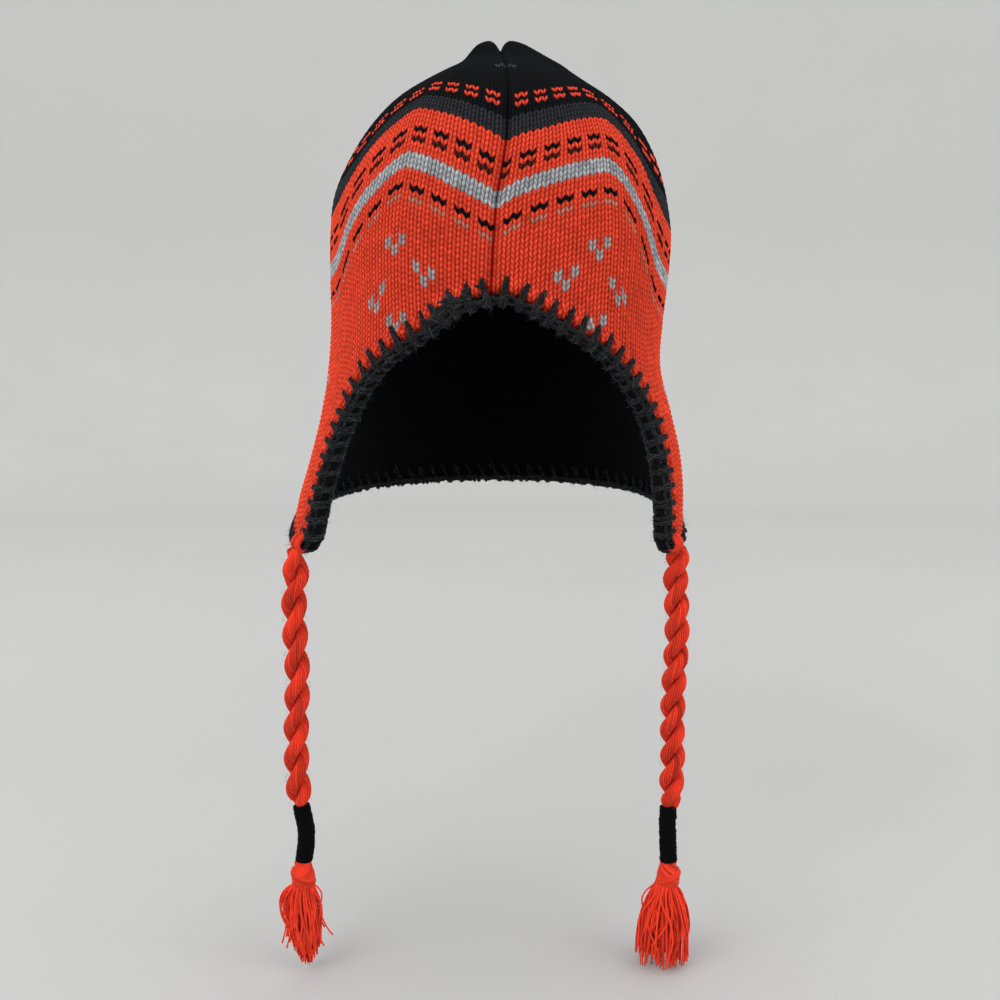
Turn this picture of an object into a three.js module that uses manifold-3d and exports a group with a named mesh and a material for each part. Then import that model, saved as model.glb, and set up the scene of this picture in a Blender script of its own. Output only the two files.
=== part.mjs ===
// Knitted earflap hat with a fleece lining, a stitched edge roll and two twisted ties with tassels.
// Millimetres, +Z up. The face looks along -Y and +X is on the right of a viewer in front of it.
// The origin is in the middle of the head hollow, level with the front rim.
import * as THREE from 'three';
import Module from 'manifold-3d';

const wasm = await Module();
wasm.setup();

// Cloth
const KNIT_THICKNESS = 2.6;
const LINING_THICKNESS = 2.6;
const PIECE_GAP = 0.3;

// Edge roll round the whole rim
const ROLL_WIDTH = 9.8;
const ROLL_HEIGHT = 5.4;
const ROLL_SIDES = 10;
const ROLL_CLEARANCE = 0.45;

// Ties
const TIE_DIAMETER = 13.0;
const TIE_SIDES = 8;
const TIE_STEPS = 14;
const LOOP_DIAMETER = 6.2;
const LOOP_SIDES = 8;
const WRAP_DIAMETER = 9.2;
const WRAP_SIDES = 10;
const WRAP_STEPS = 7;
const KNOT_DIAMETER = 12.6;
const KNOT_LENGTH = 13;
const KNOT_SIDES = 12;

// Tassels: a head with locks that spread below it, one in the middle and the rest in a ring
const TASSEL_LENGTH = 45;
const TASSEL_HEAD_DIAMETER = 11.0;
const TASSEL_HEAD_LENGTH = 9.0;
const LOCK_DIAMETER = 8.0;
const LOCK_SIDES = 6;
const LOCK_STEPS = 3;
const LOCK_COUNT = 8;
const LOCK_ROOT_DEPTH = 3.2;
const LOCK_ROOT_SHARE = 0.22;
const LOCK_UNEVENNESS = 0.12;
const LOCK_TURN = 0.2;
const MIDDLE_LOCK_SPREAD = 2.4;

// Profiles from the top down, in shares of the radius and of the length
const KNOT_PROFILE = [
  [0, 0],
  [0.62, 0],
  [0.92, 0.18],
  [1, 0.4],
  [0.9, 0.56],
  [0.97, 0.74],
  [0.8, 0.94],
  [0.6, 1],
  [0, 1],
];
const TASSEL_HEAD_PROFILE = [
  [0, 0],
  [0.7, 0],
  [1, 0.4],
  [1.12, 1],
  [0, 1],
];

// Sections of the hat, from the middle of the crown down. station is the distance down the cloth,
// height is Z, left, right, front and back are how far the wall stands from the axis, corner is
// how square the front half is, rise lifts the four crown lobes and pinch draws their seams in.
const SECTION_COLUMNS = ['station', 'height', 'left', 'right', 'front', 'back', 'corner', 'rise', 'pinch'];
const SECTIONS = [
  [0.0, 143.4, 0.3, 0.3, 0.3, 0.3, 2.0, 0.0, 0.00],
  [8.0, 143.0, 8.5, 8.0, 8.0, 8.5, 2.0, 4.0, 0.08],
  [15.5, 140.8, 15.5, 17.5, 15.5, 17.0, 2.0, 3.6, 0.13],
  [22.0, 137.2, 19.0, 25.5, 22.5, 25.0, 2.0, 2.6, 0.12],
  [30.0, 133.0, 22.5, 33.5, 30.0, 34.0, 2.0, 1.8, 0.09],
  [39.5, 129.0, 28.5, 40.5, 38.0, 43.0, 2.0, 1.1, 0.06],
  [48.5, 125.0, 37.5, 45.5, 46.0, 52.0, 2.0, 0.5, 0.04],
  [60.5, 118.8, 49.0, 54.0, 56.0, 63.0, 2.05, 0.0, 0.03],
  [76.0, 110.0, 61.5, 66.0, 67.5, 75.5, 2.1, 0.0, 0.02],
  [93.0, 98.0, 72.5, 78.0, 79.5, 87.0, 2.15, 0.0, 0.01],
  [114.5, 80.0, 84.0, 87.5, 91.0, 97.0, 2.2, 0.0, 0.0],
  [139.0, 57.0, 93.7, 94.0, 99.0, 103.5, 2.25, 0.0, 0.0],
  [158.3, 38.0, 95.6, 96.4, 102.0, 106.0, 2.3, 0.0, 0.0],
  [181.5, 15.0, 96.0, 95.2, 102.5, 106.5, 2.3, 0.0, 0.0],
  [206.5, -10.0, 95.8, 92.4, 100.5, 106.0, 2.35, 0.0, 0.0],
  [231.5, -35.0, 97.3, 91.0, 98.5, 104.5, 2.5, 0.0, 0.0],
  [256.6, -60.0, 101.0, 96.8, 97.5, 102.5, 2.7, 0.0, 0.0],
  [281.7, -85.0, 107.0, 102.2, 97.0, 100.0, 2.9, 0.0, 0.0],
  [306.8, -110.0, 114.0, 103.6, 97.0, 98.0, 3.1, 0.0, 0.0],
  [336.8, -140.0, 119.0, 101.5, 97.0, 97.0, 3.1, 0.0, 0.0],
];

// The lower edge of the knitted cloth on one side, from the middle of the front to the middle of
// the back. crown is the azimuth where a line down the cloth starts, rim the azimuth where it
// ends, both in degrees from the front, and height is where it ends.
const RIM_COLUMNS = ['crown', 'rim', 'height'];
const RIM = [
  [0, 0, -3.0],
  [4.5, 4.5, -4.4],
  [9.5, 9.5, -8.6],
  [17, 17, -15.2],
  [24, 23.5, -20.9],
  [31, 29.5, -26.5],
  [37.5, 35, -33],
  [43.5, 40.5, -41.5],
  [49, 45, -52],
  [54, 48.5, -64],
  [58.5, 51, -75],
  [62.5, 52.6, -86],
  [66, 53.6, -97],
  [69, 54.2, -108],
  [72, 54.7, -117],
  [74.5, 55.5, -124],
  [77, 57.3, -129],
  [80.5, 61, -131.2],
  [85.5, 67.5, -129.6],
  [92.5, 78, -124.8],
  [102, 91, -118],
  [115, 107, -112],
  [130, 125, -108],
  [148, 146, -105.5],
  [164, 163, -104.4],
  [180, 180, -104],
];
const COLUMNS_PER_SIDE = 30;
const CROWN_STATIONS = [8, 15.5, 23, 31, 40.5, 52, 66, 84, 106, 132];
const SKIRT_ROWS = 6;
const WARP_START = 84;
const SEAM_SHARPNESS = 3;
const SLOPE_PROBE = 2;

// Routes of the two ties, from the flap tip down to the black wrap, and on to the knot
const TIES = [
  {
    side: 'left',
    mirror: -1,
    rope: [
      [-109.0, -65.2, -143.8],
      [-109.0, -65.2, -147.0],
      [-110.3, -65.8, -158],
      [-110.3, -66.0, -170],
      [-110.0, -66.0, -185],
      [-109.2, -66.0, -203],
      [-110.0, -66.0, -219],
      [-110.5, -66.0, -237],
      [-110.4, -66.0, -255],
      [-109.3, -66.0, -269.5],
      [-109.3, -66.0, -273],
    ],
    wrap: [
      [-108.6, -66.0, -273.4],
      [-108.6, -66.0, -275],
      [-106.5, -66.0, -284],
      [-106.0, -66.0, -293],
      [-107.5, -66.0, -304],
      [-107.5, -66.0, -305.6],
    ],
    knot: [-108.0, -66.0, -306],
    tassel: [-108.4, -66.0, -319.3],
    spread: 14,
    waist: 0.9,
  },
  {
    side: 'right',
    mirror: 1,
    rope: [
      [95.2, -58.0, -143.7],
      [95.2, -58.0, -147],
      [95.6, -58.2, -158],
      [96.2, -58.6, -171],
      [96.2, -59.0, -185],
      [95.4, -59.0, -200],
      [94.8, -59.0, -213],
      [94.5, -59.0, -231],
      [94.9, -59.0, -248],
      [94.3, -59.0, -273.5],
      [94.3, -59.0, -277],
    ],
    wrap: [
      [92.8, -59.0, -277.4],
      [92.8, -59.0, -279],
      [92.6, -59.0, -288],
      [93.0, -59.0, -298],
      [93.4, -59.0, -307],
      [93.4, -59.0, -308.6],
    ],
    knot: [93.4, -59.0, -309],
    tassel: [92.0, -59.0, -322.3],
    spread: 15.5,
    waist: 1.0,
  },
];

// A row of a table as an object with the columns' names
function named(columns, row) {
  return Object.fromEntries(columns.map((column, k) => [column, row[k]]));
}

// Slope at row i of a column, from its neighbours weighted by their distance
function slopeAt(rows, key, column, i) {
  const step = (a, b) => (rows[b][column] - rows[a][column]) / (rows[b][key] - rows[a][key]);
  if (i === 0) return step(0, 1);
  if (i === rows.length - 1) return step(i - 1, i);
  const before = rows[i][key] - rows[i - 1][key];
  const after = rows[i + 1][key] - rows[i][key];
  return (step(i - 1, i) * after + step(i, i + 1) * before) / (before + after);
}

// Value of a column at x by cubic Hermite interpolation over the rows, ordered by key
function lookUp(rows, key, column, x) {
  let i = 0;
  const rising = rows[1][key] > rows[0][key];
  while (i < rows.length - 2 && (rising ? x > rows[i + 1][key] : x < rows[i + 1][key])) i += 1;
  const width = rows[i + 1][key] - rows[i][key];
  const t = (x - rows[i][key]) / width;
  const a = slopeAt(rows, key, column, i) * width;
  const b = slopeAt(rows, key, column, i + 1) * width;
  const start = rows[i][column];
  const rise = rows[i + 1][column] - start;
  return start + t * (a + t * (3 * rise - 2 * a - b + t * (a + b - 2 * rise)));
}

const sections = SECTIONS.map((row) => named(SECTION_COLUMNS, row));
const rim = RIM.map((row) => named(RIM_COLUMNS, row)).map((row, index) => ({ ...row, index }));

function sectionAt(station) {
  return Object.fromEntries(
    SECTION_COLUMNS.map((column) => [column, lookUp(sections, 'station', column, station)]),
  );
}

const meanWidth = (s) => (s.left + s.right + s.front + s.back) / 4;

// The form of the hat: the point at an azimuth and a station, sunk by depth into the cloth
function formPoint(azimuth, station, depth = 0) {
  const s = sectionAt(station);
  const side = Math.sin(azimuth);
  const ahead = Math.cos(azimuth);
  const width = side < 0 ? s.left : s.right;
  const reach = ahead > 0 ? s.front : s.back;
  const square = ahead > 0 ? s.corner : 2 + (s.corner - 2) / 4;
  const seam = Math.abs(Math.cos(2 * azimuth)) ** SEAM_SHARPNESS;
  let radius = ((Math.abs(side) / width) ** square + (Math.abs(ahead) / reach) ** square) ** (-1 / square);
  radius *= 1 - s.pinch * seam;
  const upper = sectionAt(Math.max(station - SLOPE_PROBE, 0));
  const lower = sectionAt(station + SLOPE_PROBE);
  const outward = meanWidth(lower) - meanWidth(upper);
  const down = upper.height - lower.height;
  const length = Math.hypot(outward, down);
  radius -= (depth * down) / length;
  const height = s.height + s.rise * (1 - seam) - (depth * outward) / length;
  return new THREE.Vector3(radius * side, -radius * ahead, height);
}

// Lines down the cloth: a signed pair of azimuths and the station where each line ends
function clothLines() {
  const lines = [];
  const last = rim.length - 1;
  for (let k = -COLUMNS_PER_SIDE + 1; k <= COLUMNS_PER_SIDE; k += 1) {
    const index = (Math.abs(k) / COLUMNS_PER_SIDE) * last;
    const sign = k < 0 ? -1 : 1;
    const turn = THREE.MathUtils.degToRad(sign);
    const height = lookUp(rim, 'index', 'height', index);
    lines.push({
      crown: lookUp(rim, 'index', 'crown', index) * turn,
      rim: lookUp(rim, 'index', 'rim', index) * turn,
      end: lookUp(sections, 'height', 'station', height),
    });
  }
  return lines;
}

// Rings of points of a cloth surface at a depth, from the crown to the rim
function clothRings(depth) {
  const lines = clothLines();
  const lastCrown = CROWN_STATIONS[CROWN_STATIONS.length - 1];
  const rings = [];
  for (let row = 0; row < CROWN_STATIONS.length + SKIRT_ROWS; row += 1) {
    const skirt = (row - CROWN_STATIONS.length + 1) / SKIRT_ROWS;
    rings.push(
      lines.map((line) => {
        const station =
          row < CROWN_STATIONS.length ? CROWN_STATIONS[row] : lastCrown + (line.end - lastCrown) * skirt;
        const share = THREE.MathUtils.smoothstep(station, WARP_START, line.end);
        return formPoint(line.crown + (line.rim - line.crown) * share, station, depth);
      }),
    );
  }
  return rings;
}

// Closed body from rings of points in order; each end is closed by a point or left to meet the other.
// From ring turnAt on the faces are split by the other diagonal, so that two surfaces walked in
// opposite directions are split alike.
function bodyFromRings(rings, { startPoint = null, endPoint = null, loop = false, turnAt = Infinity } = {}) {
  const sides = rings[0].length;
  const points = rings.flat();
  const faces = [];
  const rows = loop ? rings.length : rings.length - 1;
  for (let i = 0; i < rows; i += 1) {
    const here = i * sides;
    const next = ((i + 1) % rings.length) * sides;
    for (let j = 0; j < sides; j += 1) {
      const k = (j + 1) % sides;
      if (i < turnAt) faces.push(here + j, next + j, next + k, here + j, next + k, here + k);
      else faces.push(here + j, next + j, here + k, next + j, next + k, here + k);
    }
  }
  const close = (point, base, flip) => {
    points.push(point);
    const centre = points.length - 1;
    for (let j = 0; j < sides; j += 1) {
      const k = (j + 1) % sides;
      faces.push(...(flip ? [centre, base + k, base + j] : [centre, base + j, base + k]));
    }
  };
  if (startPoint) close(startPoint, 0, false);
  if (endPoint) close(endPoint, (rings.length - 1) * sides, true);
  const geometry = new THREE.BufferGeometry();
  geometry.setAttribute(
    'position',
    new THREE.Float32BufferAttribute(points.flatMap((p) => [p.x, p.y, p.z]), 3),
  );
  geometry.setIndex(faces);
  return facingOut(geometry);
}

// Turns every face round where the body's signed volume is negative
function facingOut(geometry) {
  const position = geometry.getAttribute('position');
  const index = geometry.getIndex().array;
  const [a, b, c] = [0, 1, 2].map(() => new THREE.Vector3());
  let volume = 0;
  for (let i = 0; i < index.length; i += 3) {
    a.fromBufferAttribute(position, index[i]);
    b.fromBufferAttribute(position, index[i + 1]);
    c.fromBufferAttribute(position, index[i + 2]);
    volume += a.dot(b.cross(c));
  }
  if (volume < 0) {
    for (let i = 0; i < index.length; i += 3) [index[i + 1], index[i + 2]] = [index[i + 2], index[i + 1]];
  }
  return geometry;
}

// A cloth shell, open below: its outer surface, the rim strip and its inner surface
function clothShell(outerDepth, innerDepth) {
  const outer = clothRings(outerDepth);
  const inner = clothRings(innerDepth);
  return bodyFromRings([...outer, ...inner.reverse()], {
    startPoint: formPoint(0, 0, outerDepth),
    endPoint: formPoint(0, 0, innerDepth),
    turnAt: outer.length,
  });
}

// Frame at each place of the rim: middle of the cloth, along, outward through the cloth, and off the edge
function rimFrames(outer, inner) {
  const rimOuter = outer[outer.length - 1];
  const rimInner = inner[inner.length - 1];
  const above = outer[outer.length - 2];
  const middles = rimOuter.map((point, j) => point.clone().add(rimInner[j]).multiplyScalar(0.5));
  const count = middles.length;
  return middles.map((middle, j) => {
    const along = middles[(j + 1) % count].clone().sub(middles[(j + count - 1) % count]).normalize();
    const outward = rimOuter[j].clone().sub(rimInner[j]);
    outward.addScaledVector(along, -outward.dot(along)).normalize();
    const off = new THREE.Vector3().crossVectors(along, outward);
    if (off.dot(rimOuter[j].clone().sub(above[j])) < 0) off.negate();
    return { middle, along, outward, off };
  });
}

const frames = rimFrames(clothRings(0), clothRings(KNIT_THICKNESS + PIECE_GAP + LINING_THICKNESS));

// The charcoal edge roll: an oval section carried along the rim, just off the cloth's edge
function edgeRoll() {
  const drop = ROLL_CLEARANCE + ROLL_HEIGHT / 2;
  const rings = frames.map(({ middle, outward, off }) => {
    const centre = middle.clone().addScaledVector(off, drop);
    return Array.from({ length: ROLL_SIDES }, (_, k) => {
      const turn = ((k + 0.5) / ROLL_SIDES) * 2 * Math.PI;
      return centre
        .clone()
        .addScaledVector(outward, (Math.cos(turn) * ROLL_WIDTH) / 2)
        .addScaledVector(off, (Math.sin(turn) * ROLL_HEIGHT) / 2);
    });
  });
  return bodyFromRings(rings, { loop: true });
}

// A tube along a smooth curve through points, with flat ends
function tubeAlong(points, diameter, sides, steps) {
  const section = new THREE.Shape(
    Array.from({ length: sides }, (_, k) => {
      const turn = (k / sides) * 2 * Math.PI;
      return new THREE.Vector2((Math.cos(turn) * diameter) / 2, (Math.sin(turn) * diameter) / 2);
    }),
  );
  const path = new THREE.CatmullRomCurve3(points, false, 'centripetal');
  return new THREE.ExtrudeGeometry(section, { steps, bevelEnabled: false, extrudePath: path });
}

const vector = ([x, y, z]) => new THREE.Vector3(x, y, z);

// Index of the cloth line that ends at the tip of the flap on one side
function tipFrame(mirror) {
  const tipRow = rim.reduce((lowest, row) => (row.height < lowest.height ? row : lowest));
  const step = Math.round((tipRow.index / (rim.length - 1)) * COLUMNS_PER_SIDE);
  return frames[COLUMNS_PER_SIDE - 1 + mirror * step];
}

// The yarn bundle that passes through the flap tip, from inside, under the edge roll, to the outside.
// Columns: outward through the cloth and off the edge.
const LOOP_ROUTE = [
  [-7.0, -6.5],
  [-8.5, -2.5],
  [-8.6, 3.5],
  [-6.0, 8.2],
  [0.0, 9.6],
  [6.0, 8.2],
  [8.6, 3.5],
  [8.5, -2.5],
  [6.9, -7.5],
];
const LOOP_STEPS = 12;
function tieLoop(mirror) {
  const { middle, outward, off } = tipFrame(mirror);
  const points = LOOP_ROUTE.map(([out, down]) =>
    middle.clone().addScaledVector(outward, out).addScaledVector(off, down),
  );
  return tubeAlong(points, LOOP_DIAMETER, LOOP_SIDES, LOOP_STEPS);
}

// A profile of shares turned about Z, from the point top down
function turned(profile, diameter, length, top) {
  const points = profile.map(([out, down]) => new THREE.Vector2((out * diameter) / 2, -down * length));
  return new THREE.LatheGeometry(points.reverse(), KNOT_SIDES).rotateX(Math.PI / 2).translate(...top);
}

function toSolid(geometry) {
  const source = geometry.index ? geometry.toNonIndexed() : geometry;
  const position = source.getAttribute('position').array;
  const mesh = new wasm.Mesh({
    numProp: 3,
    vertProperties: new Float32Array(position),
    triVerts: Uint32Array.from({ length: position.length / 3 }, (_, k) => k),
  });
  mesh.merge();
  return new wasm.Manifold(mesh);
}

function fromSolid(solid) {
  const mesh = solid.getMesh();
  const geometry = new THREE.BufferGeometry();
  geometry.setAttribute('position', new THREE.BufferAttribute(Float32Array.from(mesh.vertProperties), 3));
  geometry.setIndex(new THREE.BufferAttribute(Uint32Array.from(mesh.triVerts), 1));
  return geometry;
}

// One lock of a tassel: rings from the head down to a blunt tip. The lock swings out along a sine of
// its length, held in by waist at its end, and is thickest a little past its middle.
function tasselLock(from, azimuth, spread, waist, length) {
  const centres = [];
  const rings = [];
  for (let i = 0; i <= LOCK_STEPS; i += 1) {
    const t = i / LOCK_STEPS;
    const swing = Math.sin((t * Math.PI) / 2) * (1 - (1 - waist) * t);
    const reach = spread * (LOCK_ROOT_SHARE + (1 - LOCK_ROOT_SHARE) * swing);
    const radius = (LOCK_DIAMETER / 2) * (0.75 + 0.6 * t - 0.65 * t ** 3);
    const centre = from.clone();
    centre.x += reach * Math.cos(azimuth);
    centre.y += reach * Math.sin(azimuth);
    centre.z -= length * t;
    centres.push(centre);
    rings.push(
      Array.from({ length: LOCK_SIDES }, (_, k) => {
        const turn = (k / LOCK_SIDES) * 2 * Math.PI + azimuth;
        return centre.clone().add(new THREE.Vector3(radius * Math.cos(turn), radius * Math.sin(turn), 0));
      }),
    );
  }
  return bodyFromRings(rings, { startPoint: centres[0], endPoint: centres[LOCK_STEPS] });
}

// A tassel: a round head with locks fused to it, each a little shorter or longer than the next
function tasselBody({ tassel, spread, waist }) {
  let solid = toSolid(turned(TASSEL_HEAD_PROFILE, TASSEL_HEAD_DIAMETER, TASSEL_HEAD_LENGTH, tassel));
  const root = vector(tassel).add(new THREE.Vector3(0, 0, -LOCK_ROOT_DEPTH));
  const longest = TASSEL_LENGTH - LOCK_ROOT_DEPTH;
  const ringSpread = spread - LOCK_DIAMETER / 2;
  for (let k = 0; k < LOCK_COUNT; k += 1) {
    const azimuth = (k / LOCK_COUNT) * 2 * Math.PI + LOCK_TURN;
    const length = longest * (1 - LOCK_UNEVENNESS * (1 - Math.cos(k * 2.4)));
    solid = solid.add(toSolid(tasselLock(root, azimuth, ringSpread, waist, length)));
  }
  return fromSolid(solid.add(toSolid(tasselLock(root, 0, MIDDLE_LOCK_SPREAD, waist, longest))));
}

const hat = new THREE.Group();

function addPiece(name, geometry, colour, roughness) {
  const material = new THREE.MeshStandardMaterial({ color: colour, roughness, metalness: 0 });
  const mesh = new THREE.Mesh(geometry, material);
  mesh.name = name;
  hat.add(mesh);
}

const RED = 0xd9442c;
const CHARCOAL = 0x2c2d31;
const BLACK = 0x121416;
const YARN_ROUGHNESS = 0.9;
const FLEECE_ROUGHNESS = 0.95;

const liningTop = KNIT_THICKNESS + PIECE_GAP;
addPiece('knit_shell', clothShell(0, KNIT_THICKNESS), RED, YARN_ROUGHNESS);
addPiece('fleece_lining', clothShell(liningTop, liningTop + LINING_THICKNESS), BLACK, FLEECE_ROUGHNESS);
addPiece('edge_roll', edgeRoll(), CHARCOAL, YARN_ROUGHNESS);

for (const tie of TIES) {
  addPiece(`tie_loop_${tie.side}`, tieLoop(tie.mirror), RED, YARN_ROUGHNESS);
  addPiece(
    `tie_rope_${tie.side}`,
    tubeAlong(tie.rope.map(vector), TIE_DIAMETER, TIE_SIDES, TIE_STEPS),
    RED,
    YARN_ROUGHNESS,
  );
  addPiece(
    `tie_wrap_${tie.side}`,
    tubeAlong(tie.wrap.map(vector), WRAP_DIAMETER, WRAP_SIDES, WRAP_STEPS),
    BLACK,
    YARN_ROUGHNESS,
  );
  addPiece(
    `tie_knot_${tie.side}`,
    turned(KNOT_PROFILE, KNOT_DIAMETER, KNOT_LENGTH, tie.knot),
    RED,
    YARN_ROUGHNESS,
  );
  addPiece(`tassel_${tie.side}`, tasselBody(tie), RED, YARN_ROUGHNESS);
}

export default hat;
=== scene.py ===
import math

import bpy
import numpy as np
from bpy.props import FloatProperty, FloatVectorProperty, IntProperty, PointerProperty
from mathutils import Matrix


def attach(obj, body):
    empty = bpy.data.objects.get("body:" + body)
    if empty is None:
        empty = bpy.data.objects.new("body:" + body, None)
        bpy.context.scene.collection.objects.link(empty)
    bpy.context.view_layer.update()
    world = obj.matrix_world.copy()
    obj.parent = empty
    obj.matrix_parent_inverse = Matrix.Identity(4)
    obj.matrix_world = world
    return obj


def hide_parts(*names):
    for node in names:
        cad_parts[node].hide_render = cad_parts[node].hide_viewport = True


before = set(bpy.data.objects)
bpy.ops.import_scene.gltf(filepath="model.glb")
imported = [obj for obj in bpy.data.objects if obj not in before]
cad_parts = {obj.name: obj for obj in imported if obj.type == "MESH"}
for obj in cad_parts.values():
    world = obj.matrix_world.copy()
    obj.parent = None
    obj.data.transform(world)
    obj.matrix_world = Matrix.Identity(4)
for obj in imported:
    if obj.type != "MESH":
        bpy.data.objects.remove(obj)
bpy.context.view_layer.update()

# A knitted earflap hat, in metres, +Z up. The face looks along -Y, and the origin is in the middle
# of the head hollow, level with the front rim.

bl_info = {
    "name": "Knitted Earflap Hat",
    "version": (1, 0, 0),
    "blender": (4, 5, 0),
    "location": "View3D > Sidebar > Hat",
    "description": "Builds a stockinette earflap hat with a stitched edge, twisted ties and tassels",
    "category": "Object",
}

MM = 0.001
BODY = "root"

# Form of the hat in mm, from the middle of the crown down. rise lifts the four crown lobes and
# pinch draws their seams in; corner is how square the front half is.
SECTION_COLUMNS = ("station", "height", "left", "right", "front", "back", "corner", "rise", "pinch")
SECTIONS = np.array([
    (0.0, 143.4, 0.3, 0.3, 0.3, 0.3, 2.0, 0.0, 0.00),
    (8.0, 143.0, 8.5, 8.0, 8.0, 8.5, 2.0, 4.0, 0.08),
    (15.5, 140.8, 15.5, 17.5, 15.5, 17.0, 2.0, 3.6, 0.13),
    (22.0, 137.2, 19.0, 25.5, 22.5, 25.0, 2.0, 2.6, 0.12),
    (30.0, 133.0, 22.5, 33.5, 30.0, 34.0, 2.0, 1.8, 0.09),
    (39.5, 129.0, 28.5, 40.5, 38.0, 43.0, 2.0, 1.1, 0.06),
    (48.5, 125.0, 37.5, 45.5, 46.0, 52.0, 2.0, 0.5, 0.04),
    (60.5, 118.8, 49.0, 54.0, 56.0, 63.0, 2.05, 0.0, 0.03),
    (76.0, 110.0, 61.5, 66.0, 67.5, 75.5, 2.1, 0.0, 0.02),
    (93.0, 98.0, 72.5, 78.0, 79.5, 87.0, 2.15, 0.0, 0.01),
    (114.5, 80.0, 84.0, 87.5, 91.0, 97.0, 2.2, 0.0, 0.0),
    (139.0, 57.0, 93.7, 94.0, 99.0, 103.5, 2.25, 0.0, 0.0),
    (158.3, 38.0, 95.6, 96.4, 102.0, 106.0, 2.3, 0.0, 0.0),
    (181.5, 15.0, 96.0, 95.2, 102.5, 106.5, 2.3, 0.0, 0.0),
    (206.5, -10.0, 95.8, 92.4, 100.5, 106.0, 2.35, 0.0, 0.0),
    (231.5, -35.0, 97.3, 91.0, 98.5, 104.5, 2.5, 0.0, 0.0),
    (256.6, -60.0, 101.0, 96.8, 97.5, 102.5, 2.7, 0.0, 0.0),
    (281.7, -85.0, 107.0, 102.2, 97.0, 100.0, 2.9, 0.0, 0.0),
    (306.8, -110.0, 114.0, 103.6, 97.0, 98.0, 3.1, 0.0, 0.0),
    (336.8, -140.0, 119.0, 101.5, 97.0, 97.0, 3.1, 0.0, 0.0),
])
WIDTHS = ("left", "right", "front", "back")
# How narrow the crown seams are, and how far up and down the form is probed for its slope, in mm
SEAM_SHARPNESS = 3
SLOPE_PROBE = 2.0
# The corner number of a round section, and the share of the front's squareness that the back has
ROUND_CORNER = 2.0
BACK_SQUARENESS = 0.25

# Lower edge of the cloth from the front to the back: the azimuth where a line down the cloth starts,
# where it ends on the left and on the right, in degrees, and the height where it ends, in mm
RIM = np.array([
    (0, 0, 0, -3.0), (4.5, 4.5, 4.5, -4.4), (9.5, 9.5, 9.5, -8.6), (17, 17, 17, -15.2),
    (24, 23.5, 23.5, -20.9), (31, 29.5, 29.5, -26.5), (37.5, 35, 35, -33), (43.5, 40.5, 40.5, -41.5),
    (49, 45, 45, -52), (54, 48.5, 48.4, -64), (58.5, 51, 49.7, -75), (62.5, 52.4, 50.5, -86),
    (66, 53.1, 50.8, -97), (69, 53.6, 51.0, -108), (72, 54.1, 51.2, -117), (74.5, 55.0, 51.7, -124),
    (77, 57.0, 53.1, -129), (80.5, 61, 57.5, -131.2), (85.5, 67.5, 65.3, -129.6),
    (92.5, 78, 77, -124.8), (102, 91, 91, -118), (115, 107, 107, -112), (130, 125, 125, -108),
    (148, 146, 146, -105.5), (164, 163, 163, -104.4), (180, 180, 180, -104),
])
RIM_SAMPLES = 1501
RIM_STEPS = 1200
# Middle and width in degrees of the place where the edge is drawn up, and how far in mm
RIM_DRAWN = (-13.0, 5.5, 3.5)
# Where the edge passes from the front of a flap to its back, as azimuths
TIP_BACK = (math.radians(56.0), math.radians(66.0))
# Depths in mm from the outside: of the whole cloth, of the knit alone and of the lining's outer side
CLOTH_DEPTH = 5.5
KNIT_DEPTH = 2.4
LINING_TOP = 2.95
# Station in mm where the lining's lines start to bend towards the flap tips
BEND_START = 84.0
# Longer than any distance on the hat, in metres, to leave a point out of a search
FAR = 10.0

# Where two courses of the bands run, as stations in mm by azimuth in degrees from the nearer of the
# front and back seams: the edge between black and red, then the pale grey band, left and right
BAND_COLUMNS = ("azimuth", "edge_left", "edge_right", "grey_left", "grey_right")
BANDS = np.array([
    (0, 121.5, 121.5, 153.0, 153.0), (5, 115.9, 117.3, 148.6, 147.0), (10, 110.9, 114.8, 144.1, 143.2),
    (15, 106.6, 111.9, 139.6, 140.1), (20, 103.1, 108.8, 134.9, 137.0), (25, 100.1, 106.1, 131.5, 134.5),
    (29, 97.8, 104.3, 129.4, 132.7), (32, 96.7, 103.2, 131.8, 131.5), (35, 98.4, 102.8, 136.2, 132.7),
    (38, 103.1, 102.8, 140.5, 136.8), (42, 108.2, 108.0, 146.4, 145.8), (46, 115.0, 117.7, 153.0, 156.7),
    (50, 123.5, 126.5, 160.5, 168.0), (54, 134.2, 141.5, 169.5, 176.8), (60, 144.8, 152.0, 177.2, 182.0),
    (68, 149.2, 156.5, 179.3, 184.8), (78, 151.0, 158.2, 180.3, 186.0), (90, 152.0, 159.0, 181.0, 187.0),
], dtype=float)
EDGE_COURSE, GREY_COURSE = 0.0, 10.5
# How far the front seam and the stitches beside it lean to the right, in degrees by station
LEAN = np.array([
    (0, 0.0), (20, 3.4), (48, 4.2), (85, 3.2), (120, 2.0), (136, 0.6), (152, -1.0), (177, -2.0),
    (196, -2.5), (340, -2.5),
])

# Columns and rows of the mesh in each stitch
COLUMNS_PER_STITCH = 6
ROWS_PER_STITCH = 2
# How far the legs of a stitch fall, in courses; how flat their sides are, and how low their ends
LEG_SLANT = 0.72
LEG_FLATNESS = 0.8
LEG_END = 0.22
# Radius and station of the girth in mm, and how fast the stitches narrow towards the crown
GIRTH_RADIUS = 99.9
GIRTH_STATION = 170.0
CROWN_NARROWING = 0.5
# First and last station of the knit, in mm, and its courses with the places where its pieces meet
TOP_STATION = 2.5
LAST_STATION = 336.0
COURSES = (-36, 78)
SPLITS = (0, 25)
# Rounds in which stations and azimuths settle
SETTLING_ROUNDS = 16
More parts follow.
